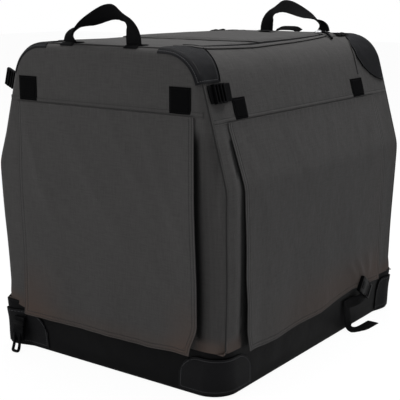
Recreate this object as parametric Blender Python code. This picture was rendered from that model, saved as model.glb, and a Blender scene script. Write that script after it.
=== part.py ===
"""A folding soft-sided dog crate: a tarpaulin tub, a tube frame that folds flat and canvas walls.

Metres, +Z up. The origin is at the middle of the tub's flat underside. The front, with its
doorway, faces -Y, and the crate is wider than its hoops because the canvas hangs outside them.
The frame stands on four corner brackets. Each end has two lower legs and one upper hoop, which
meet at elbows at half height. The elbows fold inwards, and the roof sinks straight down.
"""

import math

import bmesh
import bpy
from mathutils import Vector

for old in list(bpy.data.objects):
    bpy.data.objects.remove(old)

# Driving sizes of the whole crate
WIDTH = 0.600
DEPTH = 0.756
HEIGHT = 0.700
WAIST_RISE = 0.024
WAIST_BULGE = 0.008
SIDE_LEAN = 0.28
SHOULDER_R = 0.110
EDGE_ROLL = 0.016
HEM_Z = 0.085
CLOTH = 0.0025
FIT = 0.0003
SEAM_PLAY = 0.0005

# Tub, floor board and mat
TUB_HEIGHT = 0.100
TUB_WALL = 0.003
TUB_TAPER = 0.005
TUB_CORNER = 0.045
TUB_FOOT_CORNER = 0.055
TUB_FOOT_ROUND = 0.006
TUB_PATCH_T = 0.0012
TUB_PATCH_GAP = 0.0009
TUB_PATCH_REACH = 0.085
TUB_PATCH_ROUND = 0.040
TUB_PATCH_LOW = 0.010
TUB_PATCH_HIGH = 0.082
BOARD_T = 0.004
BOARD_PLAY = 0.008
MAT_T = 0.026
MAT_EDGE = 0.012
MAT_PLAY = 0.012
MAT_CORNER = 0.050
MAT_UNDERSIDE = 0.985

# Tube frame
TUBE_R = 0.008
BASE_FRAME_Z = 0.080
BASE_FRAME_CORNER = 0.048
BASE_FRAME_SLIT = 0.0008
PIVOT_Z = 0.130
PIVOT_INSET = 0.0225
OVER_CENTRE_DEG = 2.0
TUBE_END = 0.010
TUBE_STEP = 0.0165
PIN_R = 0.0025
PIN_HEAD_R = 0.0045
PIN_HEAD_T = 0.001
STUD_R = 0.003
HOOP_LEAN_RISE = 0.022
HOOP_CORNER_R = 0.0985
RAIL_R = 0.0045
COLLAR_WALL = 0.0025
COLLAR_LENGTH = 0.024
COLLAR_SIDE_GAP = 0.004
BRACKET_T = 0.0085
BRACKET_EYE_R = 0.013
BRACKET_LENGTH = 0.040
BRACKET_FOOT_H = 0.020

# Doorway, windows and their flaps
DOOR_INSET = 0.100
DOOR_LOW = 0.135
DOOR_DROP = 0.155
SIDE_WINDOW_INSET = 0.143
SIDE_WINDOW_LOW = 0.150
SIDE_WINDOW_DROP = 0.170
REAR_WINDOW_INSET = 0.130
REAR_WINDOW_TALL = 0.245
WINDOW_CORNER = 0.050
MESH_T = 0.001
FLAP_SEAM_DROP = 0.1275
FLAP_INSET = 0.062
FLAP_BELOW_HEM = 0.002
SIDE_FLAP_SEAM_DROP = 0.143
SIDE_FLAP_FRONT_INSET = 0.074
SIDE_FLAP_REAR_INSET = 0.095
FLAP_FLARE = 0.008
FLAP_FOLD = 0.0022
FLAP_FOLDS = 3
VELCRO_SIZE = 0.052
VELCRO_T = 0.002
VELCRO_ABOVE_SEAM = 0.004
END_VELCRO_INSET = 0.033
SIDE_VELCRO_FRONT_INSET = 0.119
SIDE_VELCRO_REAR_INSET = 0.140

# Roof
ROOF_SEAM_INSET = 0.004
ROOF_DOOR_SIDE = 0.0275
ROOF_DOOR_FRONT_INSET = 0.263
ROOF_DOOR_REAR_INSET = 0.098
ROOF_DOOR_CORNER = 0.030
ROOF_FLAP_LAP = 0.020
ROOF_FLAP_T = 0.002
SHOULDER_PATCH_T = 0.0012
SHOULDER_PATCH_DEPTH = 0.090
SHOULDER_PATCH_LEAST = 0.012
SHOULDER_PATCH_DROP = 0.064

# Webbing, handles and buckles
WEBBING_WIDTH = 0.038
WEBBING_T = 0.0025
HANDLE_FOOT_X = 0.086
HANDLE_RISE = 0.0783
HANDLE_OUTSET = 0.008
HANDLE_FOOT_PINCH = 0.15
TOP_BUCKLE_DROP = 0.086
TOP_BUCKLE_START = 0.002
TOP_BUCKLE_LENGTH = 0.072
TOP_BUCKLE_BODY = 0.012
TOP_BUCKLE_BODY_END = 0.046
TOP_BUCKLE_SLOTS = (0.036, 0.026)
TOP_BUCKLE_HEIGHT = 0.038
TOP_BUCKLE_RISE = 0.010
TOP_BUCKLE_SLOT = 0.004
BASE_BUCKLE_LENGTH = 0.058
BASE_BUCKLE_WIDTH = 0.034
BASE_BUCKLE_T = 0.009
BASE_STRAP_WIDTH = 0.030
REAR_STRAP_INSET = 0.228
REAR_STRAP_TOP = 0.006
REAR_TAB_WIDTH = 0.026
REAR_TAB_REACH = 0.084
REAR_BUCKLE_ALONG = 0.082
REAR_BUCKLE_ABOVE_HEM = 0.007
REAR_BUCKLE_TILT_DEG = 55.0
REAR_STRAP_SPREAD = 0.029
REAR_STRAP_TAIL = 0.092
FRONT_BUCKLE_INSET = 0.032
FRONT_STRAP_TOP = 0.008
FRONT_STRAP_LENGTH = 0.066
FRONT_STRAP_TAIL = 0.012
SLIDER_LENGTH = 0.016
SLIDER_WIDTH = 0.009
SLIDER_HEIGHT = 0.004
SLIDER_INSET = 0.120

# How finely curves are stepped
TUBE_SIDES = 10
ARC_STEPS = 6
ROLL_STEPS = 4
CORNER_STEPS = 5
MAT_COLUMNS = 8
MAT_ROWS = 10
PATCH_STATIONS = 12
PATCH_LEVELS = 3
FLAP_COLUMNS = 12
FLAP_ROWS = 6

# Worked-out places
BASE_HALF = WIDTH / 2
DEPTH_HALF = DEPTH / 2
OVER_CENTRE = math.radians(OVER_CENTRE_DEG)
COLLAR_R = TUBE_R + FIT + COLLAR_WALL
BAR_Z = HEIGHT - CLOTH - FIT - COLLAR_R
LINK = (BAR_Z - PIVOT_Z) / 2 / math.cos(OVER_CENTRE)
ELBOW_Z = PIVOT_Z + LINK * math.cos(OVER_CENTRE)
PIVOT_Y = DEPTH_HALF - PIVOT_INSET
ELBOW_Y = PIVOT_Y + LINK * math.sin(OVER_CENTRE)
WAIST_HALF = BASE_HALF + WAIST_BULGE
LEAN = math.atan(SIDE_LEAN)
TUB_HALF_X = BASE_HALF - CLOTH - SEAM_PLAY
TUB_HALF_Y = DEPTH_HALF - CLOTH - SEAM_PLAY
BOARD_Z = TUB_WALL + FIT
MAT_Z = BOARD_Z + BOARD_T + FIT
SIDE_SEAM_Y = DEPTH_HALF - EDGE_ROLL
WAIST_Z = ELBOW_Z + WAIST_RISE
DOOR_HALF = BASE_HALF - DOOR_INSET
DOOR_HIGH = HEIGHT - DOOR_DROP
SIDE_WINDOW_HALF = DEPTH_HALF - SIDE_WINDOW_INSET
SIDE_WINDOW_HIGH = HEIGHT - SIDE_WINDOW_DROP
REAR_WINDOW_HALF = BASE_HALF - REAR_WINDOW_INSET
REAR_WINDOW_LOW = DOOR_HIGH - REAR_WINDOW_TALL
FLAP_SEAM_Z = HEIGHT - FLAP_SEAM_DROP
FLAP_HALF = BASE_HALF - FLAP_INSET
FLAP_FOOT_Z = HEM_Z - FLAP_BELOW_HEM
SIDE_FLAP_SEAM_Z = HEIGHT - SIDE_FLAP_SEAM_DROP
SIDE_FLAP_FRONT = DEPTH_HALF - SIDE_FLAP_FRONT_INSET
SIDE_FLAP_REAR = DEPTH_HALF - SIDE_FLAP_REAR_INSET
FRONT_VELCRO_X = FLAP_HALF - END_VELCRO_INSET
SIDE_VELCRO_FRONT = DEPTH_HALF - SIDE_VELCRO_FRONT_INSET
SIDE_VELCRO_REAR = DEPTH_HALF - SIDE_VELCRO_REAR_INSET
SHOULDER_PATCH_LOW_Z = HEIGHT - SHOULDER_PATCH_DROP
TOP_BUCKLE_Z = HEIGHT - TOP_BUCKLE_DROP
ROOF_DOOR_FRONT = DEPTH_HALF - ROOF_DOOR_FRONT_INSET
ROOF_DOOR_REAR = DEPTH_HALF - ROOF_DOOR_REAR_INSET
REAR_STRAP_Y = DEPTH_HALF - REAR_STRAP_INSET
REAR_BUCKLE_Y = REAR_STRAP_Y + REAR_BUCKLE_ALONG
REAR_BUCKLE_Z = HEM_Z + REAR_BUCKLE_ABOVE_HEM
FRONT_BUCKLE_X = BASE_HALF - FRONT_BUCKLE_INSET
SLIDER_Y = DEPTH_HALF - SLIDER_INSET
ROLL_DROP = EDGE_ROLL - math.sqrt(EDGE_ROLL ** 2 - HANDLE_OUTSET ** 2)
HANDLE_FOOT_Z = HEIGHT - ROLL_DROP + FIT


def tub_share(z):
    """How far up the tub's straight side a height is, from 0 above its round foot to 1."""
    return max(0, z - TUB_FOOT_ROUND) / (TUB_HEIGHT - TUB_FOOT_ROUND)


def tub_inset(z):
    """How far the tub's side has drawn in at this height."""
    return TUB_TAPER * (1 - tub_share(z))


BASE_FRAME_HALF_X = TUB_HALF_X - TUB_WALL - tub_inset(BASE_FRAME_Z - TUBE_R) - FIT - TUBE_R
BASE_FRAME_HALF_Y = TUB_HALF_Y - TUB_WALL - tub_inset(BASE_FRAME_Z - TUBE_R) - FIT - TUBE_R
BRACKET_OUT = BASE_FRAME_HALF_X + TUBE_R + FIT
LEG_X = BRACKET_OUT - BRACKET_T - FIT - TUBE_R
HOOP_X = LEG_X + TUBE_STEP
REAR_BUCKLE_X = BASE_HALF + CLOTH + SEAM_PLAY + FLAP_FLARE / 2 + FIT


def material(name, colour, roughness, metallic=0.0):
    made = bpy.data.materials.new(name)
    made.use_nodes = True
    shader = made.node_tree.nodes["Principled BSDF"]
    shader.inputs["Base Color"].default_value = (*colour, 1.0)
    shader.inputs["Roughness"].default_value = roughness
    shader.inputs["Metallic"].default_value = metallic
    return made


CANVAS = material("canvas", (0.052, 0.052, 0.053), 0.88)
TARPAULIN = material("tarpaulin", (0.012, 0.012, 0.013), 0.62)
PATCH = material("patch_cloth", (0.010, 0.010, 0.012), 0.75)
NET = material("net", (0.015, 0.015, 0.016), 0.80)
WEBBING = material("webbing", (0.008, 0.008, 0.009), 0.80)
VELCRO = material("velcro", (0.006, 0.006, 0.007), 0.95)
STEEL = material("coated_steel", (0.050, 0.050, 0.052), 0.45, 0.6)
RIVET = material("rivet_steel", (0.450, 0.450, 0.460), 0.35, 1.0)
PLASTIC = material("black_plastic", (0.015, 0.015, 0.016), 0.45)
BOARD = material("floor_board", (0.070, 0.060, 0.050), 0.80)
FLEECE = material("fleece", (0.180, 0.175, 0.170), 0.95)
ZIP_METAL = material("zip_metal", (0.600, 0.600, 0.610), 0.30, 1.0)


def finish(name, bm, finish_material, pivot=(0, 0, 0), sharp_deg=None):
    """Makes the mesh an object whose origin is at pivot, with its faces pointing out."""
    bmesh.ops.recalc_face_normals(bm, faces=bm.faces)
    bmesh.ops.translate(bm, verts=bm.verts, vec=-Vector(pivot))
    mesh = bpy.data.meshes.new(name)
    bm.to_mesh(mesh)
    bm.free()
    if sharp_deg is not None:
        mesh.shade_smooth()
        mesh.set_sharp_from_angle(angle=math.radians(sharp_deg))
    mesh.materials.append(finish_material)
    made = bpy.data.objects.new(name, mesh)
    made.location = pivot
    bpy.context.collection.objects.link(made)
    return made


def boolean(target, cutter, operation):
    """Cuts or joins with another object, which is kept only as a hidden guide."""
    step = target.modifiers.new(operation.lower() + "_" + cutter.name, "BOOLEAN")
    step.operation = operation
    step.solver = "EXACT"
    step.object = cutter
    cutter.hide_render = True
    cutter.display_type = "WIRE"


def grid_solid(front, back):
    """One closed sheet between two grids of points that have the same rows and columns."""
    bm = bmesh.new()
    layers = [[[bm.verts.new(p) for p in row] for row in grid] for grid in (front, back)]
    rows = len(front)
    columns = len(front[0])
    for layer in layers:
        for i in range(rows - 1):
            for j in range(columns - 1):
                corners = (layer[i][j], layer[i + 1][j], layer[i + 1][j + 1], layer[i][j + 1])
                bm.faces.new(corners)
    first, second = layers
    for j in range(columns - 1):
        for i in (0, rows - 1):
            bm.faces.new((first[i][j], first[i][j + 1], second[i][j + 1], second[i][j]))
    for i in range(rows - 1):
        for j in (0, columns - 1):
            bm.faces.new((first[i][j], first[i + 1][j], second[i + 1][j], second[i][j]))
    return bm


def ring_solid(rings, closed_ends=True):
    """A closed body through rings that have the same number of points."""
    bm = bmesh.new()
    made = [[bm.verts.new(p) for p in ring] for ring in rings]
    count = len(rings[0])
    spans = list(zip(made, made[1:]))
    if not closed_ends:
        spans.append((made[-1], made[0]))
    for low, high in spans:
        for i in range(count):
            k = (i + 1) % count
            bm.faces.new((low[i], low[k], high[k], high[i]))
    if closed_ends:
        bm.faces.new(made[0])
        bm.faces.new(made[-1])
    return bm


def extrusion(outline, low, high, place):
    """An outline of pairs, drawn out from low to high, with place giving each point its position."""
    return ring_solid([[place(a, b, depth) for a, b in outline] for depth in (low, high)])


def rounded_rectangle(half_x, half_y, radius, steps=CORNER_STEPS):
    points = []
    for quarter in range(4):
        sx = (1, -1, -1, 1)[quarter]
        sy = (1, 1, -1, -1)[quarter]
        for i in range(steps + 1):
            angle = math.pi / 2 * (quarter + i / steps)
            x = sx * (half_x - radius) + radius * math.cos(angle)
            y = sy * (half_y - radius) + radius * math.sin(angle)
            points.append((x, y))
    return points


def squircle(u, v, half_x, half_y, radius):
    """A point of the square from -1 to 1 moved into a rectangle with round corners."""
    size = max(abs(u), abs(v))
    if size == 0:
        return 0, 0
    x = half_x * abs(u) / size
    y = half_y * abs(v) / size
    past_x = x - (half_x - radius)
    past_y = y - (half_y - radius)
    if past_x > 0 and past_y > 0:
        pull = min(1, radius / math.hypot(past_x, past_y))
        x = half_x - radius + past_x * pull
        y = half_y - radius + past_y * pull
    return math.copysign(x * size, u), math.copysign(y * size, v)


def rounded_span(left, right, low, high, radius):
    """A rounded rectangle given by its four edges."""
    middle_a = (left + right) / 2
    middle_b = (low + high) / 2
    outline = rounded_rectangle((right - left) / 2, (high - low) / 2, radius)
    return [(a + middle_a, b + middle_b) for a, b in outline]


def circle(radius, sides):
    step = 2 * math.pi / sides
    return [(radius * math.cos(step * (i + 0.5)), radius * math.sin(step * (i + 0.5)))
            for i in range(sides)]


def rod(points, radius):
    """A round rod along a path of points."""
    path = [Vector(p) for p in points]
    side = None
    rings = []
    for i, here in enumerate(path):
        before = path[max(i - 1, 0)]
        after = path[min(i + 1, len(path) - 1)]
        along = (after - before).normalized()
        if side is None:
            side = along.orthogonal().normalized()
        side = (side - along * side.dot(along)).normalized()
        up = along.cross(side)
        rings.append([here + side * a + up * b for a, b in circle(radius, TUBE_SIDES)])
    return ring_solid(rings)


def turned(profile, centre, sides=12):
    """A round body about a line along X, from pairs of radius and X from the centre."""
    x0, y0, z0 = centre
    rings = []
    for radius, x in profile:
        rings.append([(x0 + x, y0 + a, z0 + b) for a, b in circle(radius, sides)])
    return ring_solid(rings)


def cutter_along_x(name, centre, radius, half_length, sides=12):
    bm = turned([(radius, -half_length), (radius, half_length)], centre, sides)
    return finish(name, bm, PLASTIC)


def ribbon(centres, across, width, thickness):
    """Flat webbing along centres, with across giving the direction of its width at each."""
    rings = []
    for i, here in enumerate(centres):
        before = centres[max(i - 1, 0)]
        after = centres[min(i + 1, len(centres) - 1)]
        along = (after - before).normalized()
        wide = (across[i] - along * across[i].dot(along)).normalized()
        thick = along.cross(wide)
        corners = ((1, 1), (-1, 1), (-1, -1), (1, -1))
        rings.append([here + wide * a * width / 2 + thick * b * thickness / 2 for a, b in corners])
    return ring_solid(rings)


# Outline of the canvas, seen from the front
def shoulder(start_x, start_z, top_z, radius):
    """The leaning line from its start to the level top, with a round corner, outer end first."""
    reach = radius * math.tan((math.pi / 2 - LEAN) / 2)
    corner_x = start_x - (top_z - start_z) * SIDE_LEAN
    centre_x = corner_x - reach
    centre_z = top_z - radius
    points = []
    for i in range(ARC_STEPS + 1):
        angle = LEAN + (math.pi / 2 - LEAN) * i / ARC_STEPS
        points.append((centre_x + radius * math.cos(angle), centre_z + radius * math.sin(angle)))
    return points


def side_outline():
    """Half the canvas outline, from the hem up over the elbow to the seam in the roof."""
    arc = shoulder(WAIST_HALF, WAIST_Z, HEIGHT, SHOULDER_R)
    seam = (arc[-1][0] - ROOF_SEAM_INSET, HEIGHT)
    return [(BASE_HALF, HEM_Z), (WAIST_HALF, WAIST_Z)] + arc + [seam]


def moved_out(points, distance):
    """The same open line of points, moved to its outer side."""
    moved = []
    for i, (x, z) in enumerate(points):
        normals = []
        for a, b in ((i - 1, i), (i, i + 1)):
            if a >= 0 and b < len(points):
                dx = points[b][0] - points[a][0]
                dz = points[b][1] - points[a][1]
                length = math.hypot(dx, dz)
                normals.append((dz / length, -dx / length))
        nx = sum(n[0] for n in normals) / len(normals)
        nz = sum(n[1] for n in normals) / len(normals)
        size = nx * nx + nz * nz
        moved.append((x + distance * nx / size, z + distance * nz / size))
    return moved


ROOF_SEAM_X = side_outline()[-1][0]
ROOF_DOOR_HALF = ROOF_SEAM_X - ROOF_DOOR_SIDE


def half_width(z):
    """Half the canvas width at a height below the round shoulders."""
    if z <= WAIST_Z:
        return BASE_HALF + WAIST_BULGE * (z - HEM_Z) / (WAIST_Z - HEM_Z)
    return WAIST_HALF - SIDE_LEAN * (z - WAIST_Z)


def build_tub():
    def ring(z, inset, corner):
        outline = rounded_rectangle(TUB_HALF_X - inset, TUB_HALF_Y - inset, corner)
        return [(x, y, z) for x, y in outline]

    foot = tub_inset(0)
    floor_inset = TUB_WALL + tub_inset(TUB_WALL)
    rings = [
        ring(0, foot + TUB_FOOT_ROUND, TUB_FOOT_CORNER),
        ring(TUB_FOOT_ROUND * 0.3, foot + TUB_FOOT_ROUND * 0.3, TUB_FOOT_CORNER),
        ring(TUB_FOOT_ROUND, foot, TUB_FOOT_CORNER),
        ring(TUB_HEIGHT, 0, TUB_CORNER),
        ring(TUB_HEIGHT, TUB_WALL, TUB_CORNER - TUB_WALL),
        ring(TUB_FOOT_ROUND, TUB_WALL + foot, TUB_FOOT_CORNER - TUB_WALL),
        ring(TUB_WALL, floor_inset + TUB_FOOT_ROUND, TUB_FOOT_CORNER - TUB_WALL),
    ]
    finish("base_tub", ring_solid(rings), TARPAULIN, sharp_deg=40)


def tub_side(z, out):
    """A quarter of the tub's outline at a height, moved out, from the side run to the end run."""
    corner = TUB_FOOT_CORNER + (TUB_CORNER - TUB_FOOT_CORNER) * tub_share(z)
    hx = TUB_HALF_X - tub_inset(z)
    hy = TUB_HALF_Y - tub_inset(z)

    def at(s):
        """The point s metres along the outline from the middle of its round corner."""
        turn = corner * math.pi / 4
        if s < -turn:
            return hx + out, hy - corner + (s + turn)
        if s > turn:
            return hx - corner - (s - turn), hy + out
        angle = math.pi / 4 + s / corner
        return (hx - corner + (corner + out) * math.cos(angle),
                hy - corner + (corner + out) * math.sin(angle))

    return at


def build_tub_patches():
    """Reinforcing patches sewn round the tub's corners, with round upper corners."""
    stations = PATCH_STATIONS
    levels = PATCH_LEVELS
    for end, ey in (("front", -1), ("rear", 1)):
        for side, ex in (("left", -1), ("right", 1)):
            layers = []
            for out in (TUB_PATCH_GAP, TUB_PATCH_GAP + TUB_PATCH_T):
                grid = []
                for j in range(stations + 1):
                    s = TUB_PATCH_REACH * (2 * j / stations - 1)
                    from_edge = TUB_PATCH_REACH - abs(s)
                    dip = max(0, 1 - from_edge / TUB_PATCH_ROUND)
                    top = TUB_PATCH_HIGH - TUB_PATCH_ROUND * (1 - math.sqrt(1 - dip * dip * 0.98))
                    row = []
                    for i in range(levels + 1):
                        z = TUB_PATCH_LOW + (top - TUB_PATCH_LOW) * i / levels
                        x, y = tub_side(z, out)(s)
                        row.append((ex * x, ey * y, z))
                    grid.append(row)
                layers.append(grid)
            finish(f"{end}_{side}_tub_patch", grid_solid(*layers), PATCH, sharp_deg=40)


def build_floor():
    board_inset = TUB_WALL + tub_inset(TUB_WALL) + BOARD_PLAY
    outline = rounded_rectangle(
        TUB_HALF_X - board_inset, TUB_HALF_Y - board_inset, TUB_FOOT_CORNER
    )
    bm = extrusion(outline, BOARD_Z, BOARD_Z + BOARD_T, lambda a, b, h: (a, b, h))
    finish("floor_board", bm, BOARD)

    mat_inset = TUB_WALL + tub_inset(TUB_WALL) + MAT_PLAY
    hx = TUB_HALF_X - mat_inset
    hy = TUB_HALF_Y - mat_inset
    top = []
    bottom = []
    for i in range(MAT_ROWS + 1):
        v = math.sin(math.pi / 2 * (2 * i / MAT_ROWS - 1))
        high = []
        low = []
        for j in range(MAT_COLUMNS + 1):
            u = math.sin(math.pi / 2 * (2 * j / MAT_COLUMNS - 1))
            x, y = squircle(u, v, hx, hy, MAT_CORNER)
            crown = (1 - abs(u) ** 4) * (1 - abs(v) ** 4)
            high.append((x, y, MAT_Z + MAT_EDGE + (MAT_T - MAT_EDGE) * crown))
            low.append((x * MAT_UNDERSIDE, y * MAT_UNDERSIDE, MAT_Z))
        top.append(high)
        bottom.append(low)
    finish("floor_mat", grid_solid(top, bottom), FLEECE, sharp_deg=60)


def build_base_frame():
    """A ring of tube inside the tub's rim, whose two ends meet at the middle of the rear."""
    outline = rounded_rectangle(BASE_FRAME_HALF_X, BASE_FRAME_HALF_Y, BASE_FRAME_CORNER)
    rear_right = outline[: CORNER_STEPS + 1]
    ends_at = BASE_FRAME_SLIT / 2
    path = [(-ends_at, BASE_FRAME_HALF_Y)] + outline[CORNER_STEPS + 1:] + rear_right
    path.append((ends_at, BASE_FRAME_HALF_Y))
    bm = rod([(x, y, BASE_FRAME_Z) for x, y in path], TUBE_R)
    finish("base_frame", bm, STEEL, sharp_deg=50)


def build_brackets():
    """Plastic blocks that saddle the base frame, each with a stud that a leg turns on."""
    for end, ey in (("front", -1), ("rear", 1)):
        for side, ex in (("left", -1), ("right", 1)):
            straight = BASE_FRAME_HALF_Y - BASE_FRAME_CORNER
            foot_near = straight - BRACKET_LENGTH
            foot_low = BASE_FRAME_Z + TUBE_R * 0.5
            foot_high = BASE_FRAME_Z + BRACKET_FOOT_H
            eye = []
            for i in range(9):
                angle = math.radians(-70 + 190 * i / 8)
                eye.append((PIVOT_Y + BRACKET_EYE_R * math.cos(angle),
                            PIVOT_Z + BRACKET_EYE_R * math.sin(angle)))
            plate = [(foot_near, foot_low), (straight, foot_low), (straight, foot_high)]
            plate += eye
            plate += [(foot_near, foot_high)]
            name = f"{end}_{side}_corner_bracket"
            bm = extrusion(
                plate, BRACKET_OUT - BRACKET_T, BRACKET_OUT,
                lambda a, b, h, ex=ex, ey=ey: (ex * h, ey * a, b),
            )
            bracket = finish(name, bm, PLASTIC)
            inner = BASE_FRAME_HALF_X - TUBE_R - FIT
            foot = [(foot_near, foot_low), (straight, foot_low),
                    (straight, foot_high), (foot_near, foot_high)]
            bm = extrusion(
                foot, inner, BRACKET_OUT - BRACKET_T / 2,
                lambda a, b, h, ex=ex, ey=ey: (ex * h, ey * a, b),
            )
            boolean(bracket, finish(name + "_foot", bm, PLASTIC), "UNION")
            head_end = LEG_X - TUBE_R - FIT - PIN_HEAD_T
            stud = turned(
                [
                    (PIN_HEAD_R, ex * head_end),
                    (PIN_HEAD_R, ex * (head_end + PIN_HEAD_T)),
                    (STUD_R, ex * (head_end + PIN_HEAD_T)),
                    (STUD_R, ex * (BRACKET_OUT - BRACKET_T / 2)),
                ],
                (0, ey * PIVOT_Y, PIVOT_Z),
            )
            boolean(bracket, finish(name + "_stud", stud, PLASTIC), "UNION")
            sides = 16
            rings = []
            for y in (foot_near - TUBE_R, straight + BASE_FRAME_CORNER):
                rings.append([
                    (ex * BASE_FRAME_HALF_X + a, ey * y, BASE_FRAME_Z + b)
                    for a, b in circle((TUBE_R + FIT) / math.cos(math.pi / sides), sides)
                ])
            boolean(bracket, finish(name + "_saddle", ring_solid(rings), PLASTIC), "DIFFERENCE")


def build_legs():
    """Four lower legs, from the bracket studs to the elbows."""
    for end, ey in (("front", -1), ("rear", 1)):
        for side, ex in (("left", -1), ("right", 1)):
            x = ex * LEG_X
            low = Vector((x, ey * PIVOT_Y, PIVOT_Z))
            high = Vector((x, ey * ELBOW_Y, ELBOW_Z))
            along = (high - low).normalized()
            path = (low - along * TUBE_END, high + along * TUBE_END)
            name = f"{end}_{side}_leg"
            leg = finish(name, rod(path, TUBE_R), STEEL, pivot=low, sharp_deg=50)
            length = TUBE_R * 1.5
            boolean(leg, cutter_along_x(name + "_low_hole", low, STUD_R + FIT, length), "DIFFERENCE")
            boolean(leg, cutter_along_x(name + "_high_hole", high, PIN_R + FIT, length), "DIFFERENCE")


def build_elbow_pins():
    """Rivets through a leg and its hoop, with a head on each side."""
    inner = LEG_X - TUBE_R - FIT
    outer = HOOP_X + TUBE_R + FIT
    for end, ey in (("front", -1), ("rear", 1)):
        for side, ex in (("left", -1), ("right", 1)):
            profile = [
                (PIN_HEAD_R, ex * (inner - PIN_HEAD_T)),
                (PIN_HEAD_R, ex * inner),
                (PIN_R, ex * inner),
                (PIN_R, ex * outer),
                (PIN_HEAD_R, ex * outer),
                (PIN_HEAD_R, ex * (outer + PIN_HEAD_T)),
            ]
            centre = (0, ey * ELBOW_Y, ELBOW_Z)
            bm = turned(profile, centre)
            finish(f"{end}_{side}_elbow_pin", bm, RIVET, pivot=(ex * LEG_X, ey * ELBOW_Y, ELBOW_Z))


def build_hoops():
    """Two upper hoops: from the elbows they lean inwards, round the corners to a level bar."""
    for end, ey in (("front", -1), ("rear", 1)):

        def place(x, rise, ey=ey):
            y = ELBOW_Y - rise * math.sin(OVER_CENTRE)
            return x, ey * y, ELBOW_Z + rise * math.cos(OVER_CENTRE)

        arc = shoulder(HOOP_X, HOOP_LEAN_RISE, LINK, HOOP_CORNER_R)
        half = [(HOOP_X, -TUBE_END), (HOOP_X, HOOP_LEAN_RISE)] + arc
        path = [place(x, rise) for x, rise in half]
        path += [place(-x, rise) for x, rise in reversed(half)]
        name = f"{end}_hoop"
        bm = rod(path, TUBE_R)
        hoop = finish(name, bm, STEEL, pivot=(0, ey * ELBOW_Y, ELBOW_Z), sharp_deg=50)
        for side, ex in (("left", -1), ("right", 1)):
            centre = (ex * HOOP_X, ey * ELBOW_Y, ELBOW_Z)
            hole = cutter_along_x(f"{name}_{side}_hole", centre, PIN_R + FIT, TUBE_R * 1.5)
            boolean(hoop, hole, "DIFFERENCE")


def build_rails():
    """Two rods along the roof, each with a collar at both ends that turns on a hoop's bar."""
    rail_x = ROOF_SEAM_X - COLLAR_SIDE_GAP - COLLAR_LENGTH / 2
    reach = PIVOT_Y - TUBE_R - FIT - COLLAR_WALL / 2
    for side, ex in (("left", -1), ("right", 1)):
        name = f"{side}_roof_rail"
        rings = []
        for y in (-reach, reach):
            rings.append([(ex * rail_x + a, y, BAR_Z + b) for a, b in circle(RAIL_R, TUBE_SIDES)])
        pivot = (ex * rail_x, -PIVOT_Y, BAR_Z)
        rail = finish(name, ring_solid(rings), STEEL, pivot=pivot, sharp_deg=50)
        for end, ey in (("front", -1), ("rear", 1)):
            half = COLLAR_LENGTH / 2
            centre = (ex * rail_x, ey * PIVOT_Y, BAR_Z)
            bore = TUBE_R + FIT
            sides = 16
            true = 1 / math.cos(math.pi / sides)
            rings = []
            for radius, x in ((bore * true, -half), (COLLAR_R, -half), (COLLAR_R, half),
                              (bore * true, half)):
                ring = [(centre[0] + x, centre[1] + a, centre[2] + b)
                        for a, b in circle(radius, sides)]
                rings.append(ring)
            bm = ring_solid(rings, closed_ends=False)
            boolean(rail, finish(f"{name}_{end}_collar", bm, STEEL), "UNION")


def end_wall(name, ey, opening):
    """A flat end wall whose edge rolls round to the side seams, with an opening cut in it."""
    outline = side_outline()
    whole = outline + [(-x, z) for x, z in reversed(outline)]
    layers = []
    for inner in (0, CLOTH):
        radius = EDGE_ROLL - inner
        grid = []
        for k in range(ROLL_STEPS + 1):
            angle = math.pi / 2 * k / ROLL_STEPS
            inset = inner + radius * (1 - math.cos(angle))
            y = ey * (SIDE_SEAM_Y + radius * math.sin(angle))
            grid.append([(x, y, z) for x, z in moved_out(whole, -inset)])
        layers.append(grid)
    bm = bmesh.new()
    made = [[[bm.verts.new(p) for p in row] for row in grid] for grid in layers]
    columns = len(whole)
    for layer in made:
        for k in range(ROLL_STEPS):
            for j in range(columns - 1):
                bm.faces.new((layer[k][j], layer[k][j + 1], layer[k + 1][j + 1], layer[k + 1][j]))
        bm.faces.new(layer[ROLL_STEPS])
    first, second = made
    for j in range(columns - 1):
        bm.faces.new((first[0][j], first[0][j + 1], second[0][j + 1], second[0][j]))
    for k in range(ROLL_STEPS):
        for j in (0, columns - 1):
            bm.faces.new((first[k][j], first[k + 1][j], second[k + 1][j], second[k][j]))
    last = ROLL_STEPS
    bm.faces.new((first[last][0], first[last][-1], second[last][-1], second[last][0]))
    wall = finish(name, bm, CANVAS, sharp_deg=50)
    bm = extrusion(opening, DEPTH_HALF - EDGE_ROLL, DEPTH_HALF + EDGE_ROLL,
                   lambda a, b, h: (a, ey * h, b))
    boolean(wall, finish(name + "_opening", bm, CANVAS), "DIFFERENCE")


def end_net(name, ey, opening, pivot):
    """A flat net panel in the middle of the wall's thickness."""
    near = DEPTH_HALF - (CLOTH + MESH_T) / 2
    bm = extrusion(opening, near, near + MESH_T, lambda a, b, h: (a, ey * h, b))
    finish(name, bm, NET, pivot=pivot)


def build_end_walls():
    for name, ey, half, low in (
        ("front", -1, DOOR_HALF, DOOR_LOW),
        ("rear", 1, REAR_WINDOW_HALF, REAR_WINDOW_LOW),
    ):
        opening = rounded_span(-half, half, low, DOOR_HIGH, WINDOW_CORNER)
        end_wall(f"{name}_wall", ey, opening)
        play = SEAM_PLAY
        net = rounded_span(
            play - half, half - play, low + play, DOOR_HIGH - play, WINDOW_CORNER - play
        )
        hinge = (0, ey * (DEPTH_HALF - CLOTH / 2), DOOR_HIGH - play)
        if name == "front":
            end_net("front_door_net", ey, net, hinge)
        else:
            end_net("rear_window_net", ey, net, (0, 0, 0))


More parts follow.
